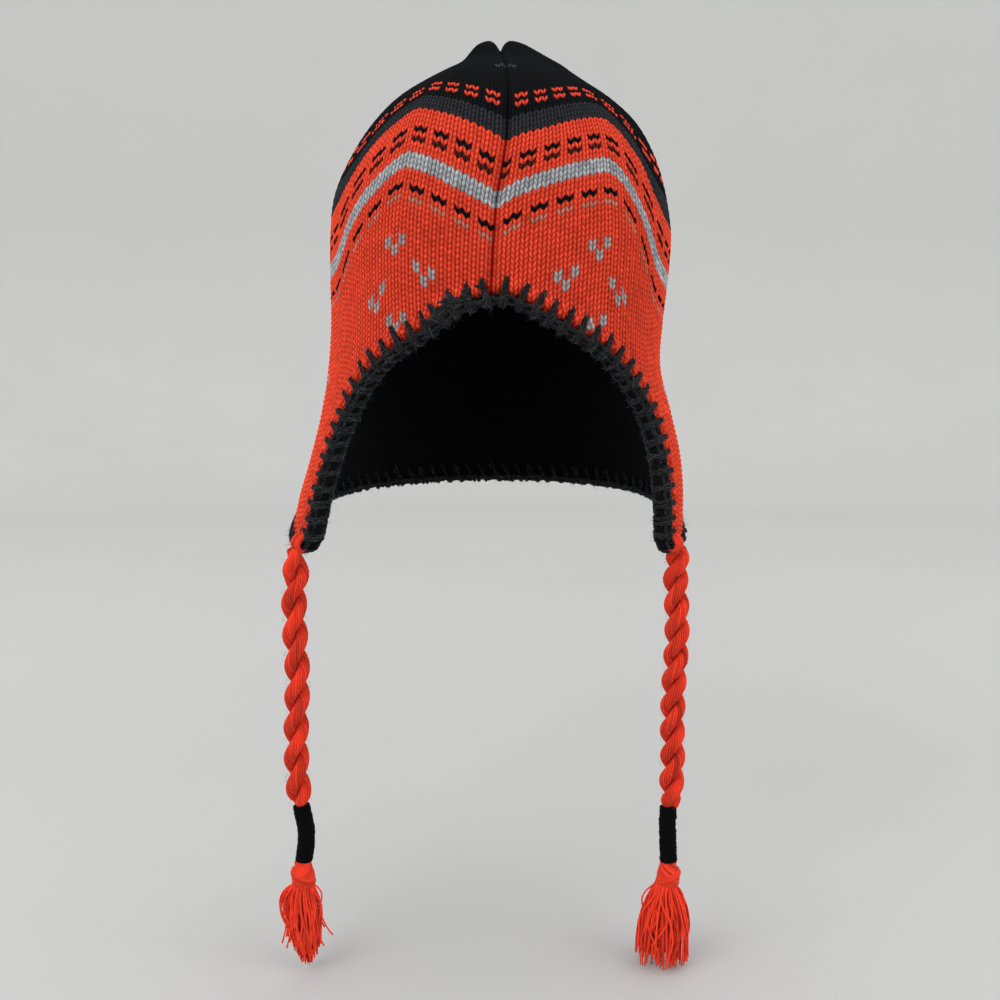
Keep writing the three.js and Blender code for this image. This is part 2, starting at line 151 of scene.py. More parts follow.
# Half widths in mm of a sunken seam and of the ridge of a plain one, with the ridge's height, and how
# deep the back seam sinks against the front one
SEAM_WIDTH, RIDGE_WIDTH, RIDGE_HEIGHT = 1.0, 0.8, 0.4
BACK_SEAM = 0.6
# Stations between which the side seams of the crown come out of the cloth
SIDE_SEAM_END = (60, 120)
# The level of the stitch relief that lies on the cloth's form, and its level at the pole, where it only
# sets the painted shade of the grooves
RELIEF_MIDDLE, RELIEF_AT_POLE = 0.45, 0.4

# Bands and flowers in courses down from the edge between black and red, in the letters of YARNS.
# Each row repeats over three stitches, counted from the front or back seam, on the left and right.
BAND_CHART = {
    -9: ("KRR", "KRR"), -7: ("KRR", "KRR"),
    -4: ("CCC", "CCC"), -3: ("CCC", "CCC"), -2: ("CCC", "CCC"), -1: ("CCC", "CCC"),
    4: ("RKK", "KRK"), 6: ("RBB", "BRB"),
    9: ("GGG", "GGG"), 10: ("GGG", "GGG"), 11: ("GGG", "GGG"),
    15: ("KKR", "RKK"), 17: ("PPR", "RPP"),
}
HEART_ROWS = ("X.X", "X.X", ".X.", ".X.")
HEART_PLACES = ((12, 24), (8, 28), (15, 31), (12, 38), (33, 24), (29, 31))
# Odd pale stitches in the black beside the front seam, as stitch and course
CROWN_FLECKS = ((0, -21), (1, -20))
# The setting that holds each yarn's colour, and how heathered the yarn is
YARNS = {
    "R": ("red", 0.05),
    "K": ("black", 0.1),
    "C": ("charcoal", 0.5),
    "G": ("pale_grey", 0.35),
    "B": ("brown", 0.2),
    "P": ("pink_grey", 0.3),
    "H": ("heart_grey", 0.3),
    "A": ("ash", 0.4),
}
YARN_LETTERS = "".join(YARNS)
# How much the stitches of one yarn differ, in the pale grey band and elsewhere
UNEVEN_GREY, UNEVEN_YARN = 0.13, 0.07

# Routes of the ties in mm, from the flap tip down to the black wrap, and on to the knot. lobe is
# half the twist's pitch and spread the tassel's half width. gather draws its tips in, taper shortens
# its outer strands, ragged is the shortest one's share, and swing shifts its tips to the right. The
# strays are the loops and the free strands at each side.
TIES = {
    "left": {
        "mirror": -1,
        "rope": [
            (-109.0, -65.2, -143.8), (-109.0, -65.2, -147.0), (-110.3, -65.8, -158),
            (-110.3, -66.0, -170), (-110.0, -66.0, -185), (-109.2, -66.0, -203),
            (-110.0, -66.0, -219), (-110.5, -66.0, -237), (-110.4, -66.0, -255),
            (-109.3, -66.0, -269.5), (-109.3, -66.0, -273),
        ],
        "wrap": [
            (-108.6, -66.0, -273.4), (-106.5, -66.0, -284), (-106.0, -66.0, -293),
            (-107.5, -66.0, -305.6),
        ],
        "knot": (-108.0, -66.0, -306.0),
        "tassel": (-108.4, -66.0, -319.3),
        "lobe": 17.0,
        "spread": 11.8,
        "gather": 0.60,
        "taper": 0.22,
        "ragged": 0.88,
        "swing": 2.0,
        "strays_left": (16, 8),
        "strays_right": (6, 8),
        "seed": 11,
    },
    "right": {
        "mirror": 1,
        "rope": [
            (95.2, -58.0, -143.7), (95.2, -58.0, -147), (95.6, -58.2, -158), (96.2, -58.6, -171),
            (96.2, -59.0, -185), (95.4, -59.0, -200), (94.8, -59.0, -213), (94.5, -59.0, -231),
            (94.9, -59.0, -248), (94.3, -59.0, -273.5), (94.3, -59.0, -277),
        ],
        "wrap": [
            (92.8, -59.0, -277.4), (92.6, -59.0, -288), (93.0, -59.0, -298), (93.4, -59.0, -308.6),
        ],
        "knot": (93.4, -59.0, -309.0),
        "tassel": (92.0, -59.0, -322.3),
        "lobe": 14.0,
        "spread": 16.5,
        "gather": 0.10,
        "taper": 0.04,
        "ragged": 0.80,
        "swing": -0.8,
        "strays_left": (4, 3),
        "strays_right": (5, 3),
        "seed": 23,
    },
}
# Yarn bundle round the flap tip in mm, inward from the middle of the edge and down off it: from
# inside the edge, under it and up the outside of the cloth
LOOP_ROUTE = [
    (1.8, 2.2), (3.8, 2.8), (5.9, 1.8), (6.9, -0.4), (6.0, -3.0),
    (3.8, -5.0), (1.0, -6.3), (-1.6, -6.6), (-4.0, -6.0), (-5.6, -4.9),
]
# How far the bundle sits towards the front of the flap tip
LOOP_FORWARD = 6.2


class HatKnitSettings(bpy.types.PropertyGroup):
    """Sizes and colours of the knitted cloth and its lining."""
    wale: FloatProperty(
        name="Stitch Width", description="Width of one knit stitch",
        default=0.0041, min=0.002, unit="LENGTH")
    course: FloatProperty(
        name="Stitch Height", description="Height of one knit stitch",
        default=0.00275, min=0.001, unit="LENGTH")
    relief: FloatProperty(
        name="Stitch Relief", description="How far the legs of a stitch stand proud",
        default=0.00095, min=0.0, unit="LENGTH")
    seam_depth: FloatProperty(
        name="Seam Depth", description="How deep the seams sink into the cloth",
        default=0.0013, min=0.0, unit="LENGTH")
    red: FloatVectorProperty(
        name="Red", description="Ground colour of the knit",
        default=(0.86, 0.078, 0.036), subtype="COLOR", min=0, max=1)
    black: FloatVectorProperty(
        name="Black", description="Colour of the crown",
        default=(0.0052, 0.0060, 0.0078), subtype="COLOR", min=0, max=1)
    charcoal: FloatVectorProperty(
        name="Charcoal", description="Colour of the dark heathered band",
        default=(0.030, 0.032, 0.037), subtype="COLOR", min=0, max=1)
    pale_grey: FloatVectorProperty(
        name="Pale Grey", description="Colour of the light heathered band",
        default=(0.43, 0.445, 0.465), subtype="COLOR", min=0, max=1)
    brown: FloatVectorProperty(
        name="Brown", description="Colour of the lower halves of the flowers",
        default=(0.06, 0.014, 0.009), subtype="COLOR", min=0, max=1)
    pink_grey: FloatVectorProperty(
        name="Pink Grey", description="Colour of the faint row of stitches",
        default=(0.58, 0.20, 0.14), subtype="COLOR", min=0, max=1)
    ash: FloatVectorProperty(
        name="Ash", description="Colour of the odd stitches in the black",
        default=(0.075, 0.085, 0.10), subtype="COLOR", min=0, max=1)
    heart_grey: FloatVectorProperty(
        name="Heart Grey", description="Colour of the small hearts",
        default=(0.46, 0.38, 0.37), subtype="COLOR", min=0, max=1)
    fleece: FloatVectorProperty(
        name="Fleece", description="Colour of the lining",
        default=(0.0024, 0.0025, 0.0028), subtype="COLOR", min=0, max=1)


class HatEdgeSettings(bpy.types.PropertyGroup):
    """Sizes and colours of the stitched edge."""
    pitch: FloatProperty(
        name="Stitch Pitch", description="Distance from one edge stitch to the next",
        default=0.0083, min=0.004, unit="LENGTH")
    strand: FloatProperty(
        name="Strand", description="Diameter of one strand of the doubled yarn",
        default=0.0015, min=0.0005, unit="LENGTH")
    spike: FloatProperty(
        name="Stitch Length", description="How far an edge stitch reaches up the cloth",
        default=0.0098, min=0.002, unit="LENGTH")
    colour: FloatVectorProperty(
        name="Charcoal Yarn", description="Colour of the edge yarn",
        default=(0.0115, 0.0120, 0.0135), subtype="COLOR", min=0, max=1)
    # Painted shade: the core is coloured darker than the edge yarn for the shade deep in the edge between
    # the stitches
    core: FloatVectorProperty(
        name="Core", description="Colour of the yarn deep in the edge",
        default=(0.0035, 0.0038, 0.0045), subtype="COLOR", min=0, max=1)
    fuzz: FloatVectorProperty(
        name="Fuzz", description="Colour of the loose fibres on the edge",
        default=(0.10, 0.105, 0.115), subtype="COLOR", min=0, max=1)


class HatTieSettings(bpy.types.PropertyGroup):
    """Sizes and colours of the ties and tassels."""
    ply: FloatProperty(
        name="Ply Diameter", description="Diameter of each of the two plies of a tie",
        default=0.0072, min=0.002, unit="LENGTH")
    yarns: IntProperty(
        name="Yarns per Ply", description="Number of fine yarns round each ply",
        default=14, min=5)
    yarn: FloatProperty(
        name="Yarn Diameter", description="Diameter of one fine yarn",
        default=0.00125, min=0.0005, unit="LENGTH")
    strands: IntProperty(
        name="Tassel Strands", description="Number of strands in each tassel",
        default=150, min=8)
    red: FloatVectorProperty(
        name="Red Yarn", description="Colour of the ties and tassels",
        default=(0.70, 0.040, 0.0165), subtype="COLOR", min=0, max=1)
    black: FloatVectorProperty(
        name="Black Yarn", description="Colour of the windings",
        default=(0.0026, 0.0027, 0.0029), subtype="COLOR", min=0, max=1)


class HatStageSettings(bpy.types.PropertyGroup):
    """Camera, floor and backdrop paper."""
    camera_back: FloatProperty(
        name="Camera Distance", description="How far the camera stands in front of the origin",
        default=0.655, min=0.1, unit="LENGTH")
    camera_height: FloatProperty(
        name="Camera Height", description="Height of the camera over the origin",
        default=-0.051, unit="LENGTH")
    camera_pitch: FloatProperty(
        name="Camera Pitch", description="How far the camera looks down",
        default=math.radians(5.4), subtype="ANGLE")
    lens: FloatProperty(
        name="Lens", description="Focal length in millimetres", default=40.07, min=10)
    floor: FloatProperty(
        name="Floor Height", description="Height of the floor under the tassels",
        default=-0.368, unit="LENGTH")
    paper: FloatVectorProperty(
        name="Paper", description="Colour of the floor and backdrop",
        default=(0.615, 0.619, 0.616), subtype="COLOR", min=0, max=1)
    # Painted shade: the floor keeps less of the paper's colour towards the middle, where more light falls
    floor_shade_level: FloatProperty(
        name="Floor Shade Level", description="How much of the paper's colour the floor keeps",
        default=0.765, min=0, max=1)


# Arrays and form

def smooth_through(keys, values, x):
    """Cubic curve through a table's points, with rising keys. The slope at a point is the mean of the
    slopes on its two sides, each weighted by the length of the other side."""
    gaps = np.diff(keys)
    steps = np.diff(values) / gaps
    slopes = np.empty(len(values))
    slopes[[0, -1]] = steps[[0, -1]]
    slopes[1:-1] = (steps[:-1] * gaps[1:] + steps[1:] * gaps[:-1]) / (gaps[:-1] + gaps[1:])
    i = np.clip(np.searchsorted(keys, x, side="right") - 1, 0, len(keys) - 2)
    t = (x - keys[i]) / gaps[i]
    a, b = slopes[i] * gaps[i], slopes[i + 1] * gaps[i]
    rise = values[i + 1] - values[i]
    return values[i] + t * (a + t * (3 * rise - 2 * a - b + t * (a + b - 2 * rise)))


def unit(vectors):
    """Vectors of length one, by dividing each by its length."""
    return vectors / np.maximum(np.linalg.norm(vectors, axis=-1, keepdims=True), 1e-12)


def smoothstep(x, low, high):
    """Rises from 0 at low to 1 at high as 3t^2 - 2t^3."""
    t = np.clip((x - low) / (high - low), 0.0, 1.0)
    return t * t * (3 - 2 * t)


def bell(away, width):
    """Bell curve: 1 where away is 0, as e to the power of -(away / width)^2."""
    return np.exp(-(away / width) ** 2)


def from_least(least, share):
    """Rises in a straight line from least, where share is 0, to 1, where share is 1."""
    return least + (1 - least) * share


def round_turn(count):
    """Equally spaced angles once round, without the last, which is the first again."""
    return 2 * np.pi * np.arange(count) / count


def section(column, station):
    """One column of the section table at a station down the cloth."""
    return smooth_through(SECTIONS[:, 0], SECTIONS[:, SECTION_COLUMNS.index(column)], station)


def mean_width(station):
    """Mean of the four half widths at a station."""
    return sum(section(name, station) for name in WIDTHS) / len(WIDTHS)


def form_point(azimuth, station, depth=0.0):
    """Point of the cloth in metres. A section is a superellipse in each quarter: radius is
    ((|sin a| / width)^n + (|cos a| / reach)^n)^(-1/n), drawn in by pinch at the crown seams and
    lifted by rise between them. depth sinks the point along the normal of the mean outline."""
    azimuth, station, depth = np.broadcast_arrays(azimuth, station, depth)
    side, ahead = np.sin(azimuth), np.cos(azimuth)
    width = np.where(side < 0, section("left", station), section("right", station))
    reach = np.where(ahead > 0, section("front", station), section("back", station))
    corner = section("corner", station)
    flatter = ROUND_CORNER + (corner - ROUND_CORNER) * BACK_SQUARENESS
    square = np.where(ahead > 0, corner, flatter)
    seam = np.abs(np.cos(2 * azimuth)) ** SEAM_SHARPNESS
    radius = ((np.abs(side) / width) ** square + (np.abs(ahead) / reach) ** square) ** (-1 / square)
    radius = radius * (1 - section("pinch", station) * seam)
    upper = np.maximum(station - SLOPE_PROBE, 0.0)
    lower = station + SLOPE_PROBE
    outward = mean_width(lower) - mean_width(upper)
    down = section("height", upper) - section("height", lower)
    length = np.hypot(outward, down)
    radius = radius - depth * down / length
    height = section("height", station) + section("rise", station) * (1 - seam)
    height = height - depth * outward / length
    return np.stack([radius * side, -radius * ahead, height], axis=-1) * MM


RIM_INDEX = np.linspace(0, len(RIM) - 1, RIM_SAMPLES)
RIM_CROWN, RIM_LEFT, RIM_RIGHT = (
    np.radians(smooth_through(np.arange(len(RIM)), RIM[:, column], RIM_INDEX)) for column in range(3))
RIM_STATION = smooth_through(
    SECTIONS[::-1, 1], SECTIONS[::-1, 0], smooth_through(np.arange(len(RIM)), RIM[:, 3], RIM_INDEX))


def rim_azimuth(index):
    """Azimuth of the rim at a place in its table, which counts below 0 on the left."""
    left, right = (np.interp(np.abs(index), RIM_INDEX, side) for side in (RIM_LEFT, RIM_RIGHT))
    return np.where(index < 0, -left, right)


def rim_station(azimuth):
    """Station of the cloth's lower edge at an azimuth. Left of the front seam the edge is drawn up
    a little, as a bell curve."""
    middle, width, lift = RIM_DRAWN
    drawn = lift * bell(np.degrees(azimuth) - middle, width)
    left, right = (np.interp(np.abs(azimuth), side, RIM_STATION) for side in (RIM_LEFT, RIM_RIGHT))
    return np.where(azimuth < 0, left, right) - drawn


def band_station(name, azimuth):
    """Station of one course of the bands at an azimuth, read from its left and right columns."""
    from_seam = np.degrees(np.minimum(np.abs(azimuth), np.pi - np.abs(azimuth)))
    left, right = (
        np.interp(from_seam, BANDS[:, 0], BANDS[:, BAND_COLUMNS.index(f"{name}_{side}")])
        for side in ("left", "right"))
    return np.where(azimuth < 0, left, right)


def course_station(azimuth, course, height):
    """Station of a course: in proportion from the top of the crown to the edge of the black, again
    to the grey band, and at an even course height below it."""
    edge, grey = band_station("edge", azimuth), band_station("grey", azimuth)
    above = TOP_STATION + (edge - TOP_STATION) * (1 - course / COURSES[0])
    between = edge + (grey - edge) * course / GREY_COURSE
    below = grey + (course - GREY_COURSE) * height
    return np.where(course < EDGE_COURSE, above, np.where(course < GREY_COURSE, between, below))


def course_at(azimuth, station, height):
    """The course at a station, which is course_station turned round."""
    edge, grey = band_station("edge", azimuth), band_station("grey", azimuth)
    above = (1 - (station - TOP_STATION) / (edge - TOP_STATION)) * COURSES[0]
    between = (station - edge) / (grey - edge) * GREY_COURSE
    below = GREY_COURSE + (station - grey) / height
    return np.where(station < edge, above, np.where(station < grey, between, below))


def leaned(azimuth, station):
    """Azimuth with the front seam's lean added, which dies away in a square towards the sides."""
    away = np.clip(np.abs(azimuth) / (np.pi / 2), 0.0, 1.0)
    return azimuth + np.radians(np.interp(station, LEAN[:, 0], LEAN[:, 1])) * (1 - away) ** 2


def rim_loop(count, depth):
    """Closed curve along the rim, at equal steps of length, with its frame: the middle of the cloth's
    edge, the direction along it, outward through the cloth, and off the edge."""
    order = np.concatenate([-RIM_INDEX[:0:-1], RIM_INDEX[:-1]])
    azimuth = rim_azimuth(order)
    station = rim_station(azimuth)
    middle = form_point(azimuth, station, depth)
    through = form_point(azimuth, station, 0.0) - form_point(azimuth, station, CLOTH_DEPTH)
    lengths = np.linalg.norm(np.diff(middle, axis=0, append=middle[:1]), axis=1)
    travel = np.concatenate([[0.0], np.cumsum(lengths)])
    places = np.linspace(0, travel[-1], count, endpoint=False)

    def along_loop(values):
        """The values at equal steps of the closed loop's length."""
        closed = np.concatenate([values, values[:1]])
        return np.stack([np.interp(places, travel, closed[:, k]) for k in range(3)], axis=-1)

    middle = along_loop(middle)
    step = 3
    along = unit(np.roll(middle, -step, axis=0) - np.roll(middle, step, axis=0))
    outward = along_loop(through)
    outward = unit(outward - along * np.sum(outward * along, axis=1, keepdims=True))
    off = np.cross(along, outward)
    front = np.argmin(np.abs(middle[:, 0]) + FAR * (middle[:, 1] > 0))
    off *= -np.sign(off[front, 2])
    return {"middle": middle, "along": along, "outward": outward, "off": off, "length": travel[-1]}


def at_loop(loop, places, out, down, side=0.0):
    """Points by the rim: middle + out * outward + down * off + side * along, with places in
    shares of the loop's length and the frame interpolated between its rings."""
    count = len(loop["middle"])
    places, out, down, side = np.broadcast_arrays(places, out, down, side)
    index = np.mod(places, 1.0) * count
    low = np.floor(index).astype(int) % count
    share = (index - np.floor(index))[..., None]

    def blend(name):
        """The loop's middle or one of its directions, between the two rings beside each place."""
        return loop[name][low] * (1 - share) + loop[name][(low + 1) % count] * share

    return (blend("middle") + unit(blend("outward")) * out[..., None]
            + unit(blend("off")) * down[..., None] + unit(blend("along")) * side[..., None])


def through_points(points, count):
    """Smooth curves through rows of points: points has shape (curves, points, 3). Each span is the
    cubic whose end slopes are half the step between a point's two neighbours."""
    points = np.asarray(points, float)
    slopes = np.gradient(points, axis=1)
    x = np.linspace(0, points.shape[1] - 1, count)
    i = np.minimum(x.astype(int), points.shape[1] - 2)
    t = (x - i)[None, :, None]
    p, q, a, b = points[:, i], points[:, i + 1], slopes[:, i], slopes[:, i + 1]
    rise = q - p
    return p + t * (a + t * (3 * rise - 2 * a - b + t * (a + b - 2 * rise)))


def even_steps(path, count):
    """One path resampled at equal steps of its length."""
    travel = np.concatenate([[0.0], np.cumsum(np.linalg.norm(np.diff(path, axis=0), axis=1))])
    places = np.linspace(0, travel[-1], count)
    return np.stack([np.interp(places, travel, path[:, k]) for k in range(3)], axis=-1), travel[-1]


def carried_frames(paths):
    """Direction along each path and two directions across it, carried from ring to ring: each
    across-direction is the last one with its part along the path taken away."""
    along = unit(np.gradient(paths, axis=1))
    across = np.empty_like(paths)
    axis = np.eye(3)[np.argmin(np.abs(along[:, 0]), axis=-1)]
    across[:, 0] = unit(np.cross(along[:, 0], axis))
    for ring in range(1, paths.shape[1]):
        last = across[:, ring - 1]
        lean = np.sum(last * along[:, ring], axis=-1, keepdims=True)
        across[:, ring] = unit(last - lean * along[:, ring])
    return along, across, np.cross(along, across)


def plied(paths, offset, pitch, plies=2, phase=0.0):
    """Plies wound round each path: path + offset * (cos a * across + sin a * beside), where a turns
    once in each pitch of length. Returns shape (curves * plies, rings, 3)."""
    _, across, beside = carried_frames(paths)
    steps = np.linalg.norm(np.diff(paths, axis=1), axis=-1)
    travel = np.concatenate([np.zeros((len(paths), 1)), np.cumsum(steps, axis=1)], axis=1)
    offset = np.broadcast_to(offset, travel.shape)[..., None]
    wound = []
    for ply in range(plies):
        turn = (2 * np.pi * (travel / pitch + ply / plies) + phase)[..., None]
        wound.append(paths + offset * (np.cos(turn) * across + np.sin(turn) * beside))
    return np.concatenate(wound)


# How far the point past each end of a tube stands out, in radii
END_LENGTH = 0.6


class Shape:
    """Vertices, quads and triangles with a UV and a shade for each vertex, joined piece by piece."""

    def __init__(self):
        self.vertices, self.faces, self.uvs, self.shades = [], [], [], []
        self.count = 0

    def add(self, vertices, faces, uvs, shades):
        """Adds vertices, faces as rows of three or four indices, a UV for each corner of each block
        of faces, and a shade for each vertex."""
        for block, uv in zip(faces, uvs):
            self.faces.append(block + self.count)
            self.uvs.append(uv)
        self.vertices.append(vertices)
        self.shades.append(shades)
        self.count += len(vertices)

    def tubes(self, paths, radius, sides, shades=None):
        """Tubes round paths of shape (curves, rings, 3): path + radius * (cos a * across + sin a *
        beside), with a point past each end. U is the turn and V the length along in mm."""
        curves, rings, _ = paths.shape
        along, across, beside = carried_frames(paths)
        turn = round_turn(sides)
        radius = np.broadcast_to(np.asarray(radius, float), (curves, rings))
        wheel = (np.cos(turn)[:, None] * across[:, :, None]
                 + np.sin(turn)[:, None] * beside[:, :, None])
        skin = paths[:, :, None] + radius[:, :, None, None] * wheel
        first = paths[:, :1] - along[:, :1] * radius[:, :1, None] * END_LENGTH
        last = paths[:, -1:] + along[:, -1:] * radius[:, -1:, None] * END_LENGTH
        vertices = np.concatenate([skin.reshape(curves, -1, 3), first, last], axis=1)
        size = rings * sides + 2
        base = (np.arange(curves) * size)[:, None, None]
        i = np.arange(rings - 1)[None, :, None] * sides
        k = np.arange(sides)[None, None, :]
        n = (k + 1) % sides
        ring, following = base + i, base + i + sides
        quads = np.stack([ring + k, ring + n, following + n, following + k], axis=-1)
        steps = np.linalg.norm(np.diff(paths, axis=1), axis=-1)
        travel = np.concatenate([np.zeros((curves, 1)), np.cumsum(steps, axis=1)], axis=1) / MM
        low, high = travel[:, :-1, None], travel[:, 1:, None]
        u, v = k / sides + 0 * low, (k + 1) / sides + 0 * low
        quad_uv = np.stack([
            np.stack([u, low + 0 * u], -1), np.stack([v, low + 0 * u], -1),
            np.stack([v, high + 0 * u], -1), np.stack([u, high + 0 * u], -1)], axis=-2)
        start = base[:, 0] + rings * sides
        end_ring = base[:, 0] + (rings - 1) * sides
        k, n = k[0], n[0]
        caps = np.concatenate([
            np.stack([start + 0 * k, base[:, 0] + n, base[:, 0] + k], -1),
            np.stack([start + 1 + 0 * k, end_ring + k, end_ring + n], -1)])
        cap_uv = np.zeros(caps.shape + (2,))
        if shades is None:
            shades = np.zeros(curves)
        self.add(vertices.reshape(-1, 3), [quads.reshape(-1, 4), caps.reshape(-1, 3)],
                 [quad_uv.reshape(-1, 4, 2), cap_uv.reshape(-1, 3, 2)], np.repeat(shades, size))
        return self

    def grid(self, points, wrap_rows=False, flip=False):
        """A surface over a grid of points of shape (rows, columns, 3), closed round its columns. Its
        first and last rows may meet, or be single points that close a pole. U counts the columns and
        V the rows."""
        rows, columns, _ = points.shape
        i = np.arange(rows if wrap_rows else rows - 1)[:, None]
        k = np.arange(columns)[None, :]
        j, n = (i + 1) % rows * columns, (k + 1) % columns
        quads = np.stack([i * columns + k, j + k, j + n, i * columns + n], axis=-1)
        u, v = k + 0.0 * i, i + 0.0 * k
        corner = [(0, 0), (0, 1), (1, 1), (1, 0)]
        uv = np.stack([np.stack([u + a, v + b], -1) for a, b in corner], axis=-2)
        quads, uv = quads.reshape(-1, 4), uv.reshape(-1, 4, 2)
        if flip:
            quads, uv = quads[:, ::-1], uv[:, ::-1]
        self.add(points.reshape(-1, 3), [quads], [uv], np.zeros(rows * columns))
        return self

    def build(self, name, material):
        """Makes the smooth object, at the origin, with UV map and shade attribute."""
        mesh = bpy.data.meshes.new(name)
        vertices = np.concatenate(self.vertices)
        mesh.vertices.add(len(vertices))
        mesh.vertices.foreach_set("co", vertices.astype(np.float32).ravel())
        sizes = np.concatenate([np.full(len(block), block.shape[1]) for block in self.faces])
        corners = np.concatenate([block.ravel() for block in self.faces])
        mesh.loops.add(len(corners))
        mesh.loops.foreach_set("vertex_index", corners.astype(np.int32))
        mesh.polygons.add(len(sizes))
        starts = np.concatenate([[0], np.cumsum(sizes)[:-1]])
        mesh.polygons.foreach_set("loop_start", starts.astype(np.int32))
        mesh.polygons.foreach_set("use_smooth", np.ones(len(sizes), bool))
        mesh.update(calc_edges=True)
        layer = mesh.uv_layers.new(name="lay")
        layer.uv.foreach_set("vector", np.concatenate([uv.reshape(-1) for uv in self.uvs]))
        shade = mesh.attributes.new("shade", "FLOAT", "POINT")
        shade.data.foreach_set("value", np.concatenate(self.shades).astype(np.float32))
        mesh.materials.append(material)
        obj = bpy.data.objects.new(name, mesh)
        bpy.context.scene.collection.objects.link(obj)
        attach(obj, BODY)
        return obj


def lumps(seed, count, reach):
    """A smooth random line that closes on itself: a sum of reach sines of rising frequency with
    seeded heights and phases, scaled to about one."""
    rng = np.random.default_rng(seed)
    x = np.linspace(0, 2 * np.pi, count, endpoint=False)
    waves = np.arange(1, reach + 1)[:, None]
    heights = rng.normal(size=(reach, 1))
    phases = rng.uniform(0, 2 * np.pi, (reach, 1))
    line = np.sum(heights * np.sin(waves * x + phases), axis=0)
    return line / math.sqrt(reach / 2)


# Materials

WHITE = (1.0, 1.0, 1.0, 1.0)
RED_SHEEN = (1.0, 0.72, 0.62, 1.0)
CHARCOAL_SHEEN = (0.75, 0.8, 0.9, 1.0)
BLACK_SHEEN = (0.7, 0.75, 0.85, 1.0)
FLEECE_SHEEN = (0.8, 0.85, 1.0, 1.0)
# What all wool shares: a faint gloss, and how wide its sheen spreads
WOOL_GLOSS = 0.06
SHEEN_SPREAD = 0.55
# The mean of a noise, about which it darkens and lightens
MEAN = 0.5


class Value:
    """A shader socket on which Python's operators add Math nodes."""

    def __init__(self, finish, socket):
        self.finish, self.socket = finish, socket

    def math(self, operation, *values):
        """Adds one Math node on this value and the others."""
        inputs = dict(enumerate((self, *values)))
        return self.finish.node("ShaderNodeMath", "Value", {"operation": operation}, inputs)

    def __add__(self, other):
        return self.math("ADD", other)

    __radd__ = __add__

    def __mul__(self, other):
        return self.math("MULTIPLY", other)

    __rmul__ = __mul__

    def __sub__(self, other):
        return self.math("SUBTRACT", other)

    def __rsub__(self, other):
        return self.math("MULTIPLY", -1.0).math("ADD", other)

    def sine(self):
        """The sine of this value in radians."""
        return self.math("SINE")

    def within(self, low, high):
        """0 below low, 1 above high and a straight line between."""
        inputs = {"Value": self, "From Min": low, "From Max": high}
        return self.finish.node("ShaderNodeMapRange", "Result", {"clamp": True}, inputs)


class Finish:
    """One procedural material, built node by node."""

    def __init__(self, name):
        self.material = bpy.data.materials.new(name)
        self.material.use_nodes = True
        self.tree = self.material.node_tree
        self.tree.nodes.clear()

    def node(self, kind, output, settings=None, inputs=None):
        """Adds a node, sets its settings, then sets or links its inputs, and returns one output."""
        node = self.tree.nodes.new(kind)
        for name, value in (settings or {}).items():
            setattr(node, name, value)
        for name, value in (inputs or {}).items():
            if isinstance(value, Value):
                self.tree.links.new(value.socket, node.inputs[name])
            else:
                node.inputs[name].default_value = value
        return Value(self, node.outputs[output])

    def place(self, scale=(1.0, 1.0, 1.0)):
        """Object coordinates, stretched by scale."""
        place = self.node("ShaderNodeTexCoord", "Object")
        return self.node("ShaderNodeMapping", "Vector", None, {"Vector": place, "Scale": scale})

    def noise(self, place, scale, detail=3.0, roughness=0.6):
        """Cloudy noise between 0 and 1, with scale lumps to the metre."""
        inputs = {"Vector": place, "Scale": scale, "Detail": detail, "Roughness": roughness}
        return self.node("ShaderNodeTexNoise", "Fac", None, inputs)

    def mix(self, factor, a, b, blend="MIX"):
        """A colour between a and b, or another blend of them."""
        settings = {"data_type": "RGBA", "blend_type": blend}
        return self.node("ShaderNodeMix", 2, settings, {0: factor, 6: a, 7: b})

    def dyed(self, colour, level):
        """A colour times a level."""
        level = self.node("ShaderNodeCombineColor", "Color", None, {0: level, 1: level, 2: level})
        return self.mix(1.0, colour, level, "MULTIPLY")

    def attribute(self, name, output="Fac"):
        """An attribute of the mesh, as a number or as a colour."""
        return self.node("ShaderNodeAttribute", output, {"attribute_name": name})

    def distance(self):
        """How far a point is from the origin."""
        return self.node("ShaderNodeVectorMath", "Value", {"operation": "LENGTH"}, {0: self.place()})

    def uv(self):
        """The U and V of the piece's own map."""
        place = self.node("ShaderNodeUVMap", "UV", {"uv_map": "lay"})
        return (self.node("ShaderNodeSeparateXYZ", 0, None, {0: place}),
                self.node("ShaderNodeSeparateXYZ", 1, None, {0: place}))

    def wool(self, colour, height, roughness, distance, sheen, tint):
        """Ends the material as wool: matt, with a soft sheen and a bump of the given height."""
        bump = self.node("ShaderNodeBump", "Normal", None, {
            "Height": height, "Strength": 1.0, "Distance": distance})
        surface = self.node("ShaderNodeBsdfPrincipled", "BSDF", None, {
            "Base Color": colour, "Roughness": roughness, "Normal": bump,
            "Specular IOR Level": WOOL_GLOSS, "Sheen Weight": sheen,
            "Sheen Roughness": SHEEN_SPREAD, "Sheen Tint": tint})
        output = self.tree.nodes.new("ShaderNodeOutputMaterial")
        self.tree.links.new(surface.socket, output.inputs["Surface"])
        return self.material


